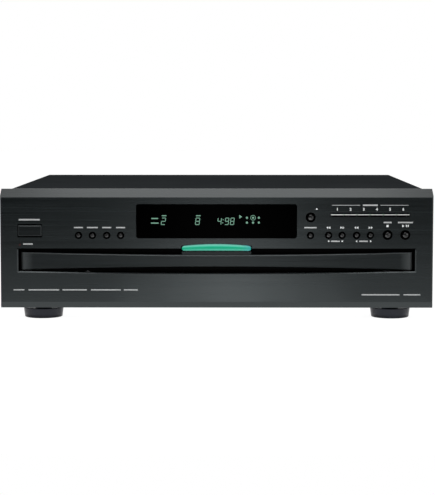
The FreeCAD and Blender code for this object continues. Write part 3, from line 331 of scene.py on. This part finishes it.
# ---- Rear sockets ----
# A pair of nickel-plated signal sockets on a black block, an optical socket with its dust
# shutter, two small control sockets, and the ribbed gland for the mains cord.


def moulded(name, tone, gloss=0.45, speck=700.0, depth=0.00003, specular=0.5):
    """Moulded plastic with the fine spark-eroded skin of its mould."""
    plastic = Finish(name, {"Specular IOR Level": specular})
    skin = plastic.noise(speck, 3.0)
    flow = plastic.noise(18.0)
    light = tuple(1.18 * c for c in tone)
    dark = tuple(0.88 * c for c in tone)
    plastic.vary("Base Color", plastic.ramp(skin * 0.4 + flow * 0.6, (0.35, dark), (0.65, light)))
    plastic.vary("Roughness", gloss - 0.06 + 0.12 * skin)
    plastic.rough(skin, depth, 0.3)
    return plastic


socket_black = moulded("socket_black", (0.02, 0.02, 0.021), 0.5)
dress(socket_black, "optical_jack", "remote_jacks", "cord_bush")

rear_face_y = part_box("rear_panel")[1].y
jacks_low, jacks_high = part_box("audio_jacks")
socket_inset, socket_drop = 0.0075, 0.008  # from the block's sides and top to the sockets' axes
right_socket_x, left_socket_x = jacks_low.x + socket_inset, jacks_high.x - socket_inset
socket_z = jacks_high.z - socket_drop
plug_radius = 0.0029  # the coloured plastic inside the plated ring
block_black, plating = (0.02, 0.02, 0.021), (0.78, 0.74, 0.64)
signal_red, signal_white = (0.45, 0.02, 0.016), (0.7, 0.7, 0.68)
jack_metal = Finish("jack_plating")
across, along, upward = jack_metal.axes()
outside = along.over(rear_face_y)
off_axis = upward - socket_z
to_right, to_left = across - right_socket_x, across - left_socket_x
right_core = outside * (plug_radius ** 2 - (to_right * to_right + off_axis * off_axis)).over(0)
left_core = outside * (plug_radius ** 2 - (to_left * to_left + off_axis * off_axis)).over(0)
plated = jack_metal.blend(outside, block_black, plating)
left_done = jack_metal.blend(left_core, plated, signal_white)
jack_metal.vary("Metallic", outside - right_core - left_core)
jack_metal.vary("Base Color", jack_metal.blend(right_core, left_done, signal_red))
turned = jack_metal.noise((200.0, 3000.0, 200.0))
jack_metal.vary("Roughness", 0.5 - 0.28 * outside + 0.06 * turned)
dress(jack_metal, "audio_jacks")

# ---- Socket inserts ----
# A coloured moulded sleeve is pressed into each plated signal socket: white on the left
# channel, red on the right. Its outer lip is eased.
sleeve_inner, sleeve_outer, sleeve_long = 0.00295, 0.0035, 0.008
sleeve_start, sleeve_ease = 0.0016, 0.0002


def piece(name, mesh, finish, body):
    data = bpy.data.meshes.new(name)
    mesh.to_mesh(data)
    mesh.free()
    data.materials.append(finish.material)
    made = bpy.data.objects.new(name, data)
    bpy.context.scene.collection.objects.link(made)
    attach(made, body)
    return made


def socket_sleeve(name, x, colour):
    """A short tube turned round the socket's axis."""
    ring = bmesh.new()
    outline = ((sleeve_inner, 0), (sleeve_outer, 0), (sleeve_outer, sleeve_long - sleeve_ease),
               (sleeve_outer - sleeve_ease, sleeve_long), (sleeve_inner, sleeve_long))
    corners = [ring.verts.new((x + out, rear_face_y + sleeve_start + back, socket_z))
               for out, back in outline]
    sides = [ring.edges.new((corners[i - 1], corners[i])) for i in range(len(corners))]
    bmesh.ops.spin(ring, geom=corners + sides, cent=(x, 0, socket_z), axis=(0, 1, 0), angle=2 * pi,
                   steps=40, use_merge=True)
    bmesh.ops.recalc_face_normals(ring, faces=ring.faces[:])
    piece(name, ring, moulded(name, colour, 0.3, 1500.0, 0.00001), "case")


socket_sleeve("right_socket_sleeve", right_socket_x, signal_red)
socket_sleeve("left_socket_sleeve", left_socket_x, signal_white)

# ---- Works ----
# Behind the front stand the mechanism deck, the rails, the clamp bridge, the boards and the
# mains transformer. They are moulded, plated and soldered parts with no outer finish.
works_grey = moulded("works_grey", (0.15, 0.15, 0.16), 0.5)
dress(works_grey, "mechanism_deck", "right_tray_rail", "left_tray_rail", "pickup_frame",
      "laser_sled")

bridge_steel = plated_steel("bridge_zinc", (0.6, 0.6, 0.58), (1500.0, 30.0, 1500.0))
dress(bridge_steel, "clamp_bridge")

acetal = moulded("white_acetal", (0.72, 0.72, 0.69), 0.38, 500.0, 0.00002)
dress(acetal, "carousel_pinion", "tray_gear", "tray_motor_pinion", "lift_slider", "clamp_puck")

motor_can = plated_steel("motor_can", (0.52, 0.52, 0.54), (900.0, 900.0, 60.0), 0.3)
dress(motor_can, "tray_motor", "carousel_motor", "spindle_motor", "sled_motor")

ground_rod = plated_steel("ground_rod", (0.7, 0.7, 0.72), (900.0, 2500.0, 900.0), 0.2)
dress(ground_rod, "guide_rods", "lead_screw")

rubber_table = moulded("table_rubber", (0.018, 0.018, 0.018), 0.7)
dress(rubber_table, "disc_table")

# ---- Boards ----
# Green glass-fibre boards with etched copper tracks under the mask, dark sleeved capacitors
# with bare aluminium tops soldered to them, and the transformer's stacked steel plates.
board_mask = Finish("board_mask", {"Specular IOR Level": 0.6, "Coat Weight": 0.3,
                                   "Coat Roughness": 0.15})
tracks = board_mask.node(
    "ShaderNodeTexBrick", {"offset": 0.37, "squash": 1.0},
    {"Vector": board_mask.place((260.0, 260.0, 260.0)), "Scale": 1.0, "Mortar Size": 0.035,
     "Color1": (0.02, 0.12, 0.05), "Color2": (0.016, 0.1, 0.042), "Mortar": (0.06, 0.26, 0.11)})
thin_mask = board_mask.noise(60.0) * 0.4
board_mask.vary("Base Color", board_mask.blend(thin_mask, tracks, (0.03, 0.16, 0.07)))
board_mask.vary("Roughness", 0.35 + 0.1 * board_mask.noise(400.0))
dress(board_mask, "front_board", "main_board")

caps_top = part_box("board_capacitors")[1].z
bare_depth = 0.0003
sleeve = Finish("capacitor_sleeve")
bare_top = sleeve.axes()[2].over(caps_top - bare_depth)
shrunk = sleeve.ramp(sleeve.noise((260.0, 260.0, 5.0)), (0.45, (0.012, 0.016, 0.04)),
                     (0.62, (0.02, 0.028, 0.07)))
sleeve.vary("Base Color", sleeve.blend(bare_top, shrunk, (0.7, 0.7, 0.72)))
sleeve.vary("Metallic", bare_top)
sleeve.vary("Roughness", 0.3 + 0.1 * sleeve.noise(500.0))
dress(sleeve, "board_capacitors")

core = Finish("transformer_core")
plates = core.node(
    "ShaderNodeTexWave", {"wave_type": "BANDS", "bands_direction": "Z"},
    {"Vector": core.place(), "Scale": 500.0, "Distortion": 0.4, "Detail": 1.0}, "Fac")
core.vary("Base Color", core.ramp(plates * 0.7 + core.noise(60.0) * 0.3,
                                  (0.3, (0.09, 0.08, 0.07)), (0.75, (0.26, 0.23, 0.19))))
core.vary("Metallic", 0.55 + 0.2 * plates)
core.vary("Roughness", 0.42 + 0.15 * core.noise(300.0))
core.rough(plates, 0.0001, 0.5)
dress(core, "power_transformer")

# ---- Drawer and carousel ----
# The drawer slides out on its runners, and the six-disc carousel turns in it. Both are
# moulded in black plastic with a fine matt skin; the hub cap is a little glossier.
drawer_black = moulded("drawer_black", (0.006, 0.006, 0.0065), 0.55, 900.0, 0.00003, 0.12)
dress(drawer_black, "tray")
door_black = moulded("door_black", (0.0012, 0.0012, 0.0013), 0.6, 900.0, 0.00003, 0.02)
dress(door_black, "tray_front")
carousel_black = moulded("carousel_black", (0.017, 0.017, 0.018), 0.46, 900.0)
dress(carousel_black, "carousel")
cap_black = moulded("cap_black", (0.016, 0.016, 0.017), 0.3, 900.0)
dress(cap_black, "carousel_cap")

# ---- Carousel numerals ----
# Plain numerals 1 to 6 are hot-stamped on the carousel in the space between the wells, so
# that the well on the outside can be told at a glance.


def ink(name, shade):
    """Screen-printed ink, a little mottled."""
    print_ink = Finish(name, {"Specular IOR Level": 0.25})
    grain = print_ink.noise(2500.0)
    lighter = tuple(1.25 * c for c in shade)
    print_ink.vary("Base Color", print_ink.ramp(grain, (0.3, shade), (0.7, lighter)))
    print_ink.vary("Roughness", 0.55 + 0.1 * grain)
    return print_ink


print_white = ink("print_white", (0.68, 0.7, 0.7))
print_grey = ink("print_grey", (0.38, 0.39, 0.39))
print_skin = 0.00004
cap_share = 0.7  # a figure's height in the size of its type


def numeral(mesh, text, x, y, tall, turn=0.0, bold=0.0):
    """Adds flat figures to a mesh, centred on x, y and facing up. bold widens their strokes."""
    curve = bpy.data.curves.new("figure", "FONT")
    curve.body = text
    curve.align_x, curve.align_y = "CENTER", "CENTER"
    curve.size = tall / cap_share
    curve.offset = bold
    curve.resolution_u = 4
    holder = bpy.data.objects.new("figure", curve)
    bpy.context.scene.collection.objects.link(holder)
    bpy.context.view_layer.update()
    graph = bpy.context.evaluated_depsgraph_get()
    flat = bpy.data.meshes.new_from_object(holder.evaluated_get(graph))
    flat.transform(Matrix.Translation((x, y, 0)) @ Matrix.Rotation(turn, 4, "Z"))
    mesh.from_mesh(flat)
    bpy.data.objects.remove(holder)
    bpy.data.curves.remove(curve)
    bpy.data.meshes.remove(flat)


def thicken(mesh, thickness, place):
    """Gives flat figures a skin thickness, and lays them at their place."""
    bmesh.ops.remove_doubles(mesh, verts=mesh.verts[:], dist=0.000001)
    lifted = bmesh.ops.extrude_face_region(mesh, geom=mesh.faces[:], use_keep_orig=True)
    tops = [v for v in lifted["geom"] if isinstance(v, bmesh.types.BMVert)]
    bmesh.ops.translate(mesh, vec=(0, 0, thickness), verts=tops)
    bmesh.ops.recalc_face_normals(mesh, faces=mesh.faces[:])
    bmesh.ops.transform(mesh, matrix=place, verts=mesh.verts[:])


carousel_low, carousel_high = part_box("carousel")
hub = 0.5 * (carousel_low + carousel_high)
numeral_ring, numeral_tall = 0.166, 0.009
figures = bmesh.new()
for well in range(6):
    angle = radians(90 - 60 * well - 30)
    x, y = hub.x + numeral_ring * cos(angle), hub.y + numeral_ring * sin(angle)
    numeral(figures, str(well + 1), x, y, numeral_tall, angle - radians(90))
thicken(figures, 2 * print_skin, Matrix.Translation((0, 0, carousel_high.z - print_skin)))
piece("carousel_numerals", figures, print_grey, "carousel")

# ---- Front panel ----
# An extruded aluminium front, brushed from side to side and anodised black, with sloped upper
# and lower edges and the wide slot for the drawer. Inside its button holes it turns a flat
# near-black, a painted shade in those recesses. The drawer's bar is of the same metal, with a
# painted highlight along its top edge and painted highlights at its rounded ends.


def brushed_black(name, tone, gloss, sheen):
    """Black anodised aluminium, brushed along the player's width."""
    metal = Finish(name, {"Specular IOR Level": sheen, "Specular Tint": (0.9, 1.0, 1.02)})
    hairs = metal.noise((22.0, 2600.0, 2600.0), 4.0)
    streaks = metal.noise((3.0, 420.0, 420.0), 2.0)
    light = tuple(1.3 * c for c in tone)
    dark = tuple(0.75 * c for c in tone)
    metal.vary("Base Color", metal.ramp(hairs * 0.5 + streaks * 0.5, (0.33, dark), (0.67, light)))
    metal.vary("Roughness", gloss - 0.11 + 0.1 * hairs + 0.12 * streaks)
    metal.rough(hairs, 0.00002, 0.35)
    return metal


window_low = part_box("display_window")[0]
window_set_back = 0.0003
panel_face = window_low.y - window_set_back
panel_metal = brushed_black("panel_anodised", (0.0052, 0.0068, 0.0072), 0.25, 0.41)
across, along, upward = panel_metal.axes()
# Deeper than the face, inside the button holes, the panel is a flat near-black: painted shade in
# the recesses.
face_margin, holes_half_wide, holes_bottom, holes_top = 0.00004, 0.205, 0.0705, 0.118
inward = along.over(panel_face + face_margin) * (holes_half_wide - abs(across)).over(0)
painted_hole_shade = inward * upward.over(holes_bottom) * (holes_top - upward).over(0)
panel_metal.dull(painted_hole_shade, (0.0006, 0.0006, 0.0006))
dress(panel_metal, "front_panel")

bar_metal = brushed_black("bar_anodised", (0.0108, 0.0128, 0.0133), 0.3, 0.15)
bar_low, bar_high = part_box("tray_bar")
bar_height, bar_waist, top_highlight_band, edge_margin = 0.0175, 0.0027, 0.00065, 0.0001
end_highlight_reach, end_highlight_fade = 0.0125, 0.010
across, along, upward = bar_metal.axes()
sideways = across / bar_high.x
top_edge = bar_low.z + bar_height - bar_waist * (1 - sideways * sideways)
# A painted highlight lightens a thin band along the bar's top edge, and painted highlights lighten
# its rounded ends.
painted_top_highlight = upward.over(top_edge - top_highlight_band) * (top_edge + edge_margin - upward).over(0)
brushed = Level(bar_metal, bar_metal.surface.inputs["Base Color"].links[0].from_socket)
painted_end_highlight = (abs(across) - bar_high.x + end_highlight_reach) / end_highlight_fade
end_highlighted = bar_metal.blend(painted_end_highlight, brushed, (0.050, 0.055, 0.056))
bar_metal.vary("Base Color", bar_metal.blend(painted_top_highlight, end_highlighted, (0.066, 0.074, 0.076)))
dress(bar_metal, "tray_bar")

# ---- Display window ----
# A sheet of smoked acrylic behind the panel's opening, over the long glass display tube. The
# lit figures glow through it just under its face.
smoked = Finish("smoked_acrylic", {"Base Color": (0.0002, 0.0002, 0.0002),
                                   "Specular IOR Level": 0.008})
smoked.vary("Roughness", 0.12 + 0.05 * smoked.noise(200.0))
dress(smoked, "display_window")
tube_glass = Finish("tube_glass", {"Specular IOR Level": 0.5, "Coat Weight": 0.5,
                                   "Coat Roughness": 0.05})
mesh_grid = tube_glass.node(
    "ShaderNodeTexBrick", {"offset": 0.0},
    {"Vector": tube_glass.place((900.0, 900.0, 900.0)), "Scale": 1.0, "Mortar Size": 0.06,
     "Color1": (0.05, 0.06, 0.055), "Color2": (0.06, 0.07, 0.065), "Mortar": (0.16, 0.17, 0.16)})
tube_glass.vary("Base Color", mesh_grid)
tube_glass.vary("Roughness", 0.12 + 0.08 * tube_glass.noise(300.0))
dress(tube_glass, "display_tube")

# ---- Display figures ----
# Pale green segments of the fluorescent display: the disc number, the track, the time, a
# running mark and one dot for each disc.
tube_glow = Finish("segment_glow", {"Base Color": (0.02, 0.05, 0.035), "Roughness": 0.5,
                                    "Emission Strength": 0.58})
tube_glow.vary("Emission Color", tube_glow.ramp(tube_glow.noise(1500.0), (0.2, (0.19, 0.42, 0.29)),
                                                (0.8, (0.27, 0.55, 0.40))))


def bar(mesh, x, z, wide, tall, lean=0.0, turn=0.0):
    """A flat bar with its middle at x, z. lean pushes its top to the right."""
    shape = Matrix.Translation((x, z, 0)) @ Matrix.Rotation(turn, 4, "Z")
    slope = Matrix(((1, lean, 0, 0), (0, 1, 0, 0), (0, 0, 1, 0), (0, 0, 0, 1)))
    scale = Matrix.Diagonal((wide / 2, tall / 2, 1, 1))
    bmesh.ops.create_grid(mesh, x_segments=1, y_segments=1, size=1.0, matrix=shape @ slope @ scale)


def arrow(mesh, x, z, size, turn):
    """A flat triangle, pointing right when turn is 0."""
    place = Matrix.Translation((x, z, 0)) @ Matrix.Rotation(turn, 4, "Z")
    narrowed = place @ Matrix.Diagonal((0.85, 1, 1, 1))
    corner = Matrix.Rotation(radians(-90), 4, "Z")
    bmesh.ops.create_circle(mesh, cap_ends=True, radius=size * 0.6, segments=3,
                            matrix=narrowed @ corner)


def dot(mesh, x, z, radius):
    """A flat round dot."""
    bmesh.ops.create_circle(mesh, cap_ends=True, radius=radius, segments=16,
                            matrix=Matrix.Translation((x, z, 0)))


def digit(mesh, figure, x, z, wide, tall, stroke):
    """A seven-segment figure with its middle at x, z, leaning to the right."""
    lean = 0.12
    lit = {"2": "abged", "8": "abcdefg", "4": "fgbc", "9": "abcdfg"}[figure]
    side, half = wide / 2, tall / 2
    flat = {"a": half, "g": 0.0, "d": -half}
    standing = {"f": (-side, half / 2), "b": (side, half / 2),
                "e": (-side, -half / 2), "c": (side, -half / 2)}
    for name, level in flat.items():
        if name in lit:
            bar(mesh, x + lean * level, z + level, wide - stroke * 0.4, stroke)
    for name, (dx, dz) in standing.items():
        if name in lit:
            bar(mesh, x + dx + lean * dz, z + dz, stroke, half - stroke * 0.5, lean)


glow_figures = bmesh.new()
figure_z, figure_tall, stroke = 0.0990, 0.0066, 0.0007
word_wide, word_z, word_tall = 0.0046, 0.1046, 0.0010
colon_dot, disc_dot = 0.0005, 0.0011
bar(glow_figures, -0.0620, 0.1018, 0.0068, 0.0011)
bar(glow_figures, -0.0620, 0.0972, 0.0076, 0.0011)
digit(glow_figures, "2", -0.0533, figure_z, 0.0038, figure_tall, stroke)
bar(glow_figures, -0.0526, word_z, word_wide, word_tall)
digit(glow_figures, "8", -0.0190, figure_z, 0.0038, figure_tall, stroke)
bar(glow_figures, -0.0183, word_z, word_wide, word_tall)
for figure, x in (("4", 0.0030), ("9", 0.0104), ("8", 0.0158)):
    digit(glow_figures, figure, x, figure_z, 0.0034, figure_tall, stroke)
dot(glow_figures, 0.0066, 0.1006, colon_dot)
dot(glow_figures, 0.0062, 0.0975, colon_dot)
arrow(glow_figures, 0.0238, 0.1036, 0.0036, 0.0)
middle_x, upper_z, lower_z = 0.0366, 0.1026, 0.0977
for x in (0.0305, middle_x, 0.0424):
    for z in (upper_z, lower_z):
        dot(glow_figures, x, z, disc_dot)
bmesh.ops.create_circle(glow_figures, cap_ends=False, radius=0.0022, segments=24,
                        matrix=Matrix.Translation((middle_x, upper_z, 0)))
inner_edge = [edge for edge in glow_figures.edges if not edge.link_faces]
wider = bmesh.ops.extrude_edge_only(glow_figures, edges=inner_edge)
outer = [v for v in wider["geom"] if isinstance(v, bmesh.types.BMVert)]
bmesh.ops.scale(glow_figures, vec=(1.22, 1.22, 1), verts=outer,
                space=Matrix.Translation((-middle_x, -upper_z, 0)))
glow_skin, glow_sink = 0.00006, 0.00001
thicken(glow_figures, glow_skin, Matrix.Translation((0, window_low.y + glow_sink, 0)) @ upright)
piece("display_figures", glow_figures, tube_glow, "case")

# ---- Slot lamp ----
# A curved lens of clear green acrylic hangs into the slot and is lit from behind. The brighter
# bands along its upper and lower edges are painted highlights in its glow and colour. Its face
# is a shallow barrel, its ends are round noses, and a broad lip behind the panel holds it.
lip_low, lip_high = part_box("lamp_lens")
lip_reach, lip_rise, lip_thickness, lip_foot = 0.003, 0.0025, 0.0015, 0.0034
lens_half = lip_high.x - lip_reach
lens_bottom = lip_low.z
lens_tall = lip_high.z - lip_rise - lens_bottom
lens_sag = 0.0020  # how much lower its ends are than its middle
nose_start, nose_least, nose_turn = 0.91, 0.02, 0.0008
barrel_radius, barrel_middle = 0.009, 0.42
lip_margin = 0.0002
lamp_green = Finish("lamp_green", {"Specular IOR Level": 0.1, "Roughness": 0.16,
                                   "Coat Weight": 0.05, "Coat Roughness": 0.06,
                                   "Emission Strength": 0.55})
across, along, upward = lamp_green.axes()
outward = across / lens_half
height_here = (upward - lens_bottom) / (lens_tall - lens_sag * outward * outward)
# The glow follows a ramp up the lens: its green is the lamp's light, and the paler bands near the
# bottom and top are painted highlights.
lit = lamp_green.ramp(
    height_here, (0.02, (0.0, 0.02, 0.02)), (0.16, (0.055, 0.39, 0.285)), (0.3, (0.0, 0.27, 0.16)),
    (0.45, (0.0, 0.255, 0.13)), (0.6, (0.004, 0.307, 0.177)), (0.74, (0.085, 0.457, 0.33)),
    (0.89, (0.165, 0.44, 0.37)), (1.0, (0.05, 0.2, 0.17)))
cyan_end = lamp_green.blend((outward - 0.7) * 2.0, lit, (0.03, 0.2, 0.3))
behind_panel = along.over(lip_high.y - lip_thickness - lip_margin)
lamp_green.vary("Emission Color", lamp_green.blend(behind_panel, cyan_end, (0.0, 0.0, 0.0)))
tinted = lamp_green.blend(0.5, cyan_end, (0.01, 0.12, 0.07))
lamp_green.vary("Base Color", lamp_green.blend(behind_panel, tinted, (0.001, 0.012, 0.007)))

lens_mesh = bmesh.new()
bmesh.ops.create_grid(lens_mesh, x_segments=72, y_segments=12, size=1.0)
for corner in lens_mesh.verts:
    share, level = sin(corner.co.x * pi / 2), corner.co.y
    past_nose = max(0.0, (abs(share) - nose_start) / (1 - nose_start))
    nose = max(nose_least, 1 - past_nose ** 2) ** 0.5
    tall_here = lens_tall - lens_sag * share * share
    z = lens_bottom + tall_here / 2 * (1 + level * nose)
    from_middle = min(abs(z - lens_bottom - barrel_middle * lens_tall), barrel_radius)
    set_back = barrel_radius - (barrel_radius ** 2 - from_middle ** 2) ** 0.5
    corner.co = (share * lens_half, lip_low.y + set_back + nose_turn * (1 - nose), z)
rim = [edge for edge in lens_mesh.edges if edge.is_boundary]
walls = bmesh.ops.extrude_edge_only(lens_mesh, edges=rim)
for corner in walls["geom"]:
    if isinstance(corner, bmesh.types.BMVert):
        corner.co.y = lip_high.y - lip_thickness
bmesh.ops.holes_fill(lens_mesh, edges=[edge for edge in lens_mesh.edges if edge.is_boundary])
lip_middle = Vector((0, lip_high.y - lip_thickness / 2, (lip_low.z + lip_foot + lip_high.z) / 2))
lip_scale = Matrix.Diagonal((2 * lip_high.x, lip_thickness, lip_high.z - lip_low.z - lip_foot, 1))
bmesh.ops.create_cube(lens_mesh, size=1.0, matrix=Matrix.Translation(lip_middle) @ lip_scale)
bmesh.ops.recalc_face_normals(lens_mesh, faces=lens_mesh.faces[:])
slot_lens = piece("slot_lens", lens_mesh, lamp_green, "case")
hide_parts("lamp_lens")
dress(lamp_green, "lamp_lens")

unlit_lamp = Finish("unlit_lamp", {"Base Color": (0.035, 0.005, 0.005), "Specular IOR Level": 0.4,
                                   "Coat Weight": 0.3})
unlit_lamp.vary("Roughness", 0.2 + 0.1 * unlit_lamp.noise(900.0))
dress(unlit_lamp, "standby_lamp")

# ---- Panel print ----
# Plain numerals, arrows and dashes are screen-printed on the front: the marks in white, the
# dashes in grey. The dashes stand where such a player has its words.
symbols = bmesh.new()
dashes = bmesh.new()


def key_place(name):
    low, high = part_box("button_" + name)
    return 0.5 * (low.x + high.x), 0.5 * (low.z + high.z)


number_rise, number_tall, number_bold = 0.0056, 0.0026, 0.00016
for index in range(6):
    key_x, key_z = key_place(f"disc_{index + 1}")
    numeral(symbols, str(index + 1), key_x, key_z + number_rise, number_tall, bold=number_bold)
row_x, row_z = 0.15405, key_z + 0.0098
for side in (-1, 1):
    bar(dashes, row_x + side * 0.0243, row_z, 0.0283, 0.0005)
bar(dashes, row_x, row_z, 0.0150, 0.0014)
open_x, open_z = key_place("open")
arrow(symbols, open_x + 0.0060, open_z + 0.0083, 0.0023, radians(90))
small_word, large_word = 0.0013, 0.0014
for name, wide in (("repeat", 0.0092), ("random", 0.0108), ("memory", 0.0092),
                   ("screen", 0.0092), ("disc_skip", 0.0122)):
    x, z = key_place(name)
    bar(dashes, x, z + 0.0079, wide, small_word)
for name, turn in (("previous", pi), ("next", 0.0), ("rewind", pi), ("forward", 0.0)):
    x, z = key_place(name)
    for shift in (-0.0011, 0.0011):
        arrow(symbols, x + shift, z + 0.0077, 0.0024, turn)
below, low_arrow = 0.0060, 0.0021
for first, second, turns in (("previous", "next", (90, -90)), ("rewind", "forward", (180, 0))):
    x0, z0 = key_place(first)
    x1 = key_place(second)[0]
    arrow(symbols, x0 + 0.0001, z0 - below, low_arrow, radians(turns[0]))
    arrow(symbols, x1 + 0.0003, z0 - below, low_arrow, radians(turns[1]))
    bar(dashes, 0.5 * (x0 + x1), z0 - below, 0.0088, small_word)
word_rise, mark_rise, mark_tall = 0.0125, 0.0090, 0.0022
stop_x, stop_z = key_place("stop")
bar(dashes, stop_x, stop_z + word_rise, 0.0080, large_word)
bar(symbols, stop_x, stop_z + mark_rise, mark_tall, mark_tall)
play_x, play_z = key_place("play")
bar(dashes, play_x, play_z + word_rise, 0.0150, large_word)
arrow(symbols, play_x - 0.0025, play_z + mark_rise, 0.0027, 0.0)
for shift in (0.0010, 0.0028):
    bar(symbols, play_x + shift, play_z + mark_rise, 0.0010, mark_tall)
power_key_x, power_key_z = key_place("power")
bar(dashes, power_key_x - 0.0004, power_key_z + 0.0112, 0.0210, 0.0016)
bar(dashes, power_key_x - 0.0020, power_key_z - 0.0133, 0.0098, large_word)
left_row_z, right_row_z, row_tall = 0.0298, 0.0250, 0.0012
for x, wide in ((-0.1990, 0.011), (-0.1739, 0.031), (-0.1429, 0.0245), (-0.1114, 0.030),
                (-0.0863, 0.014)):
    bar(dashes, x, left_row_z, wide, row_tall)
for x, wide in ((0.1650, 0.038), (0.1965, 0.017)):
    bar(dashes, x, right_row_z, wide, row_tall)
for name, mesh, shade in (("panel_symbols", symbols, print_white),
                          ("panel_dashes", dashes, print_grey)):
    thicken(mesh, 2 * print_skin, Matrix.Translation((0, panel_face + print_skin, 0)) @ upright)
    piece(name, mesh, shade, "case")

# ---- Buttons ----
# Each button is moulded with its stem and springs back: glossy black domes for the transport,
# their outer rims painted flat near-black as shade, a flat brushed bar for power, and six slim
# black keys, with a silver line, that
# pick a disc.
silver_keys = [f"button_disc_{index + 1}" for index in range(6)]
flat_keys = silver_keys + ["button_power"]
round_keys = [name for name in nodes if name.startswith("button_") and name not in flat_keys]
large_over, dome_depths = 0.009, {"small": 0.0004, "large": 0.0006}
for name in round_keys:
    low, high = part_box(name)
    size = "large" if high.x - low.x > large_over else "small"
    if size + "_button" not in bpy.data.materials:
        black_dome = moulded(size + "_button", (0.002, 0.0023, 0.0025), 0.27, 1200.0, 0.00001, 0.5)
        # The outer part of each dome is a flat near-black: painted shade standing for the gap
        # round the button.
        painted_shade_rim = black_dome.axes()[1].over(low.y + dome_depths[size])
        black_dome.dull(painted_shade_rim, (0.0005, 0.0005, 0.0005))
    nodes[name].material_slots[0].material = bpy.data.materials[size + "_button"]
button_silver = Finish("button_silver", {"Specular IOR Level": 0.3})
line_rise, line_half = 0.0003, 0.0003
line_z = key_place("disc_1")[1] + line_rise
off_line = abs(button_silver.axes()[2] - line_z).over(line_half)
silver_grain = button_silver.noise(1200.0)
button_silver.vary("Base Color", button_silver.ramp(silver_grain, (0.3, (0.86, 0.88, 0.88)),
                                                    (0.7, (0.93, 0.95, 0.95))))
button_silver.vary("Roughness", 0.36 + 0.08 * silver_grain)
button_silver.dull(off_line, (0.0008, 0.0008, 0.0008))
dress(button_silver, *silver_keys)
dress(brushed_black("power_key", (0.003, 0.0038, 0.0042), 0.25, 0.38), "button_power")

# ---- Cover and screws ----
# The cover is folded from one steel sheet with a fine grained black vinyl skin, and is held by
# black screws at its sides and rear.
vinyl = Finish("cover_vinyl", {"Specular IOR Level": 0.0})
leather = vinyl.node("ShaderNodeTexVoronoi", {"feature": "F1"},
                     {"Vector": vinyl.place(), "Scale": 1300.0}, "Distance")
patches = vinyl.noise(12.0)
vinyl.vary("Base Color", vinyl.ramp(leather * 0.5 + patches * 0.5,
                                    (0.2, (0.021, 0.0235, 0.025)), (0.7, (0.031, 0.0345, 0.0365))))
vinyl.vary("Roughness", 0.5 + 0.2 * leather)
vinyl.rough(leather, 0.00008, 0.5)
dress(vinyl, "top_cover")

black_zinc = plated_steel("screw_black", (0.07, 0.07, 0.075), (900.0, 900.0, 900.0), 0.4)
dress(black_zinc, "case_screws")
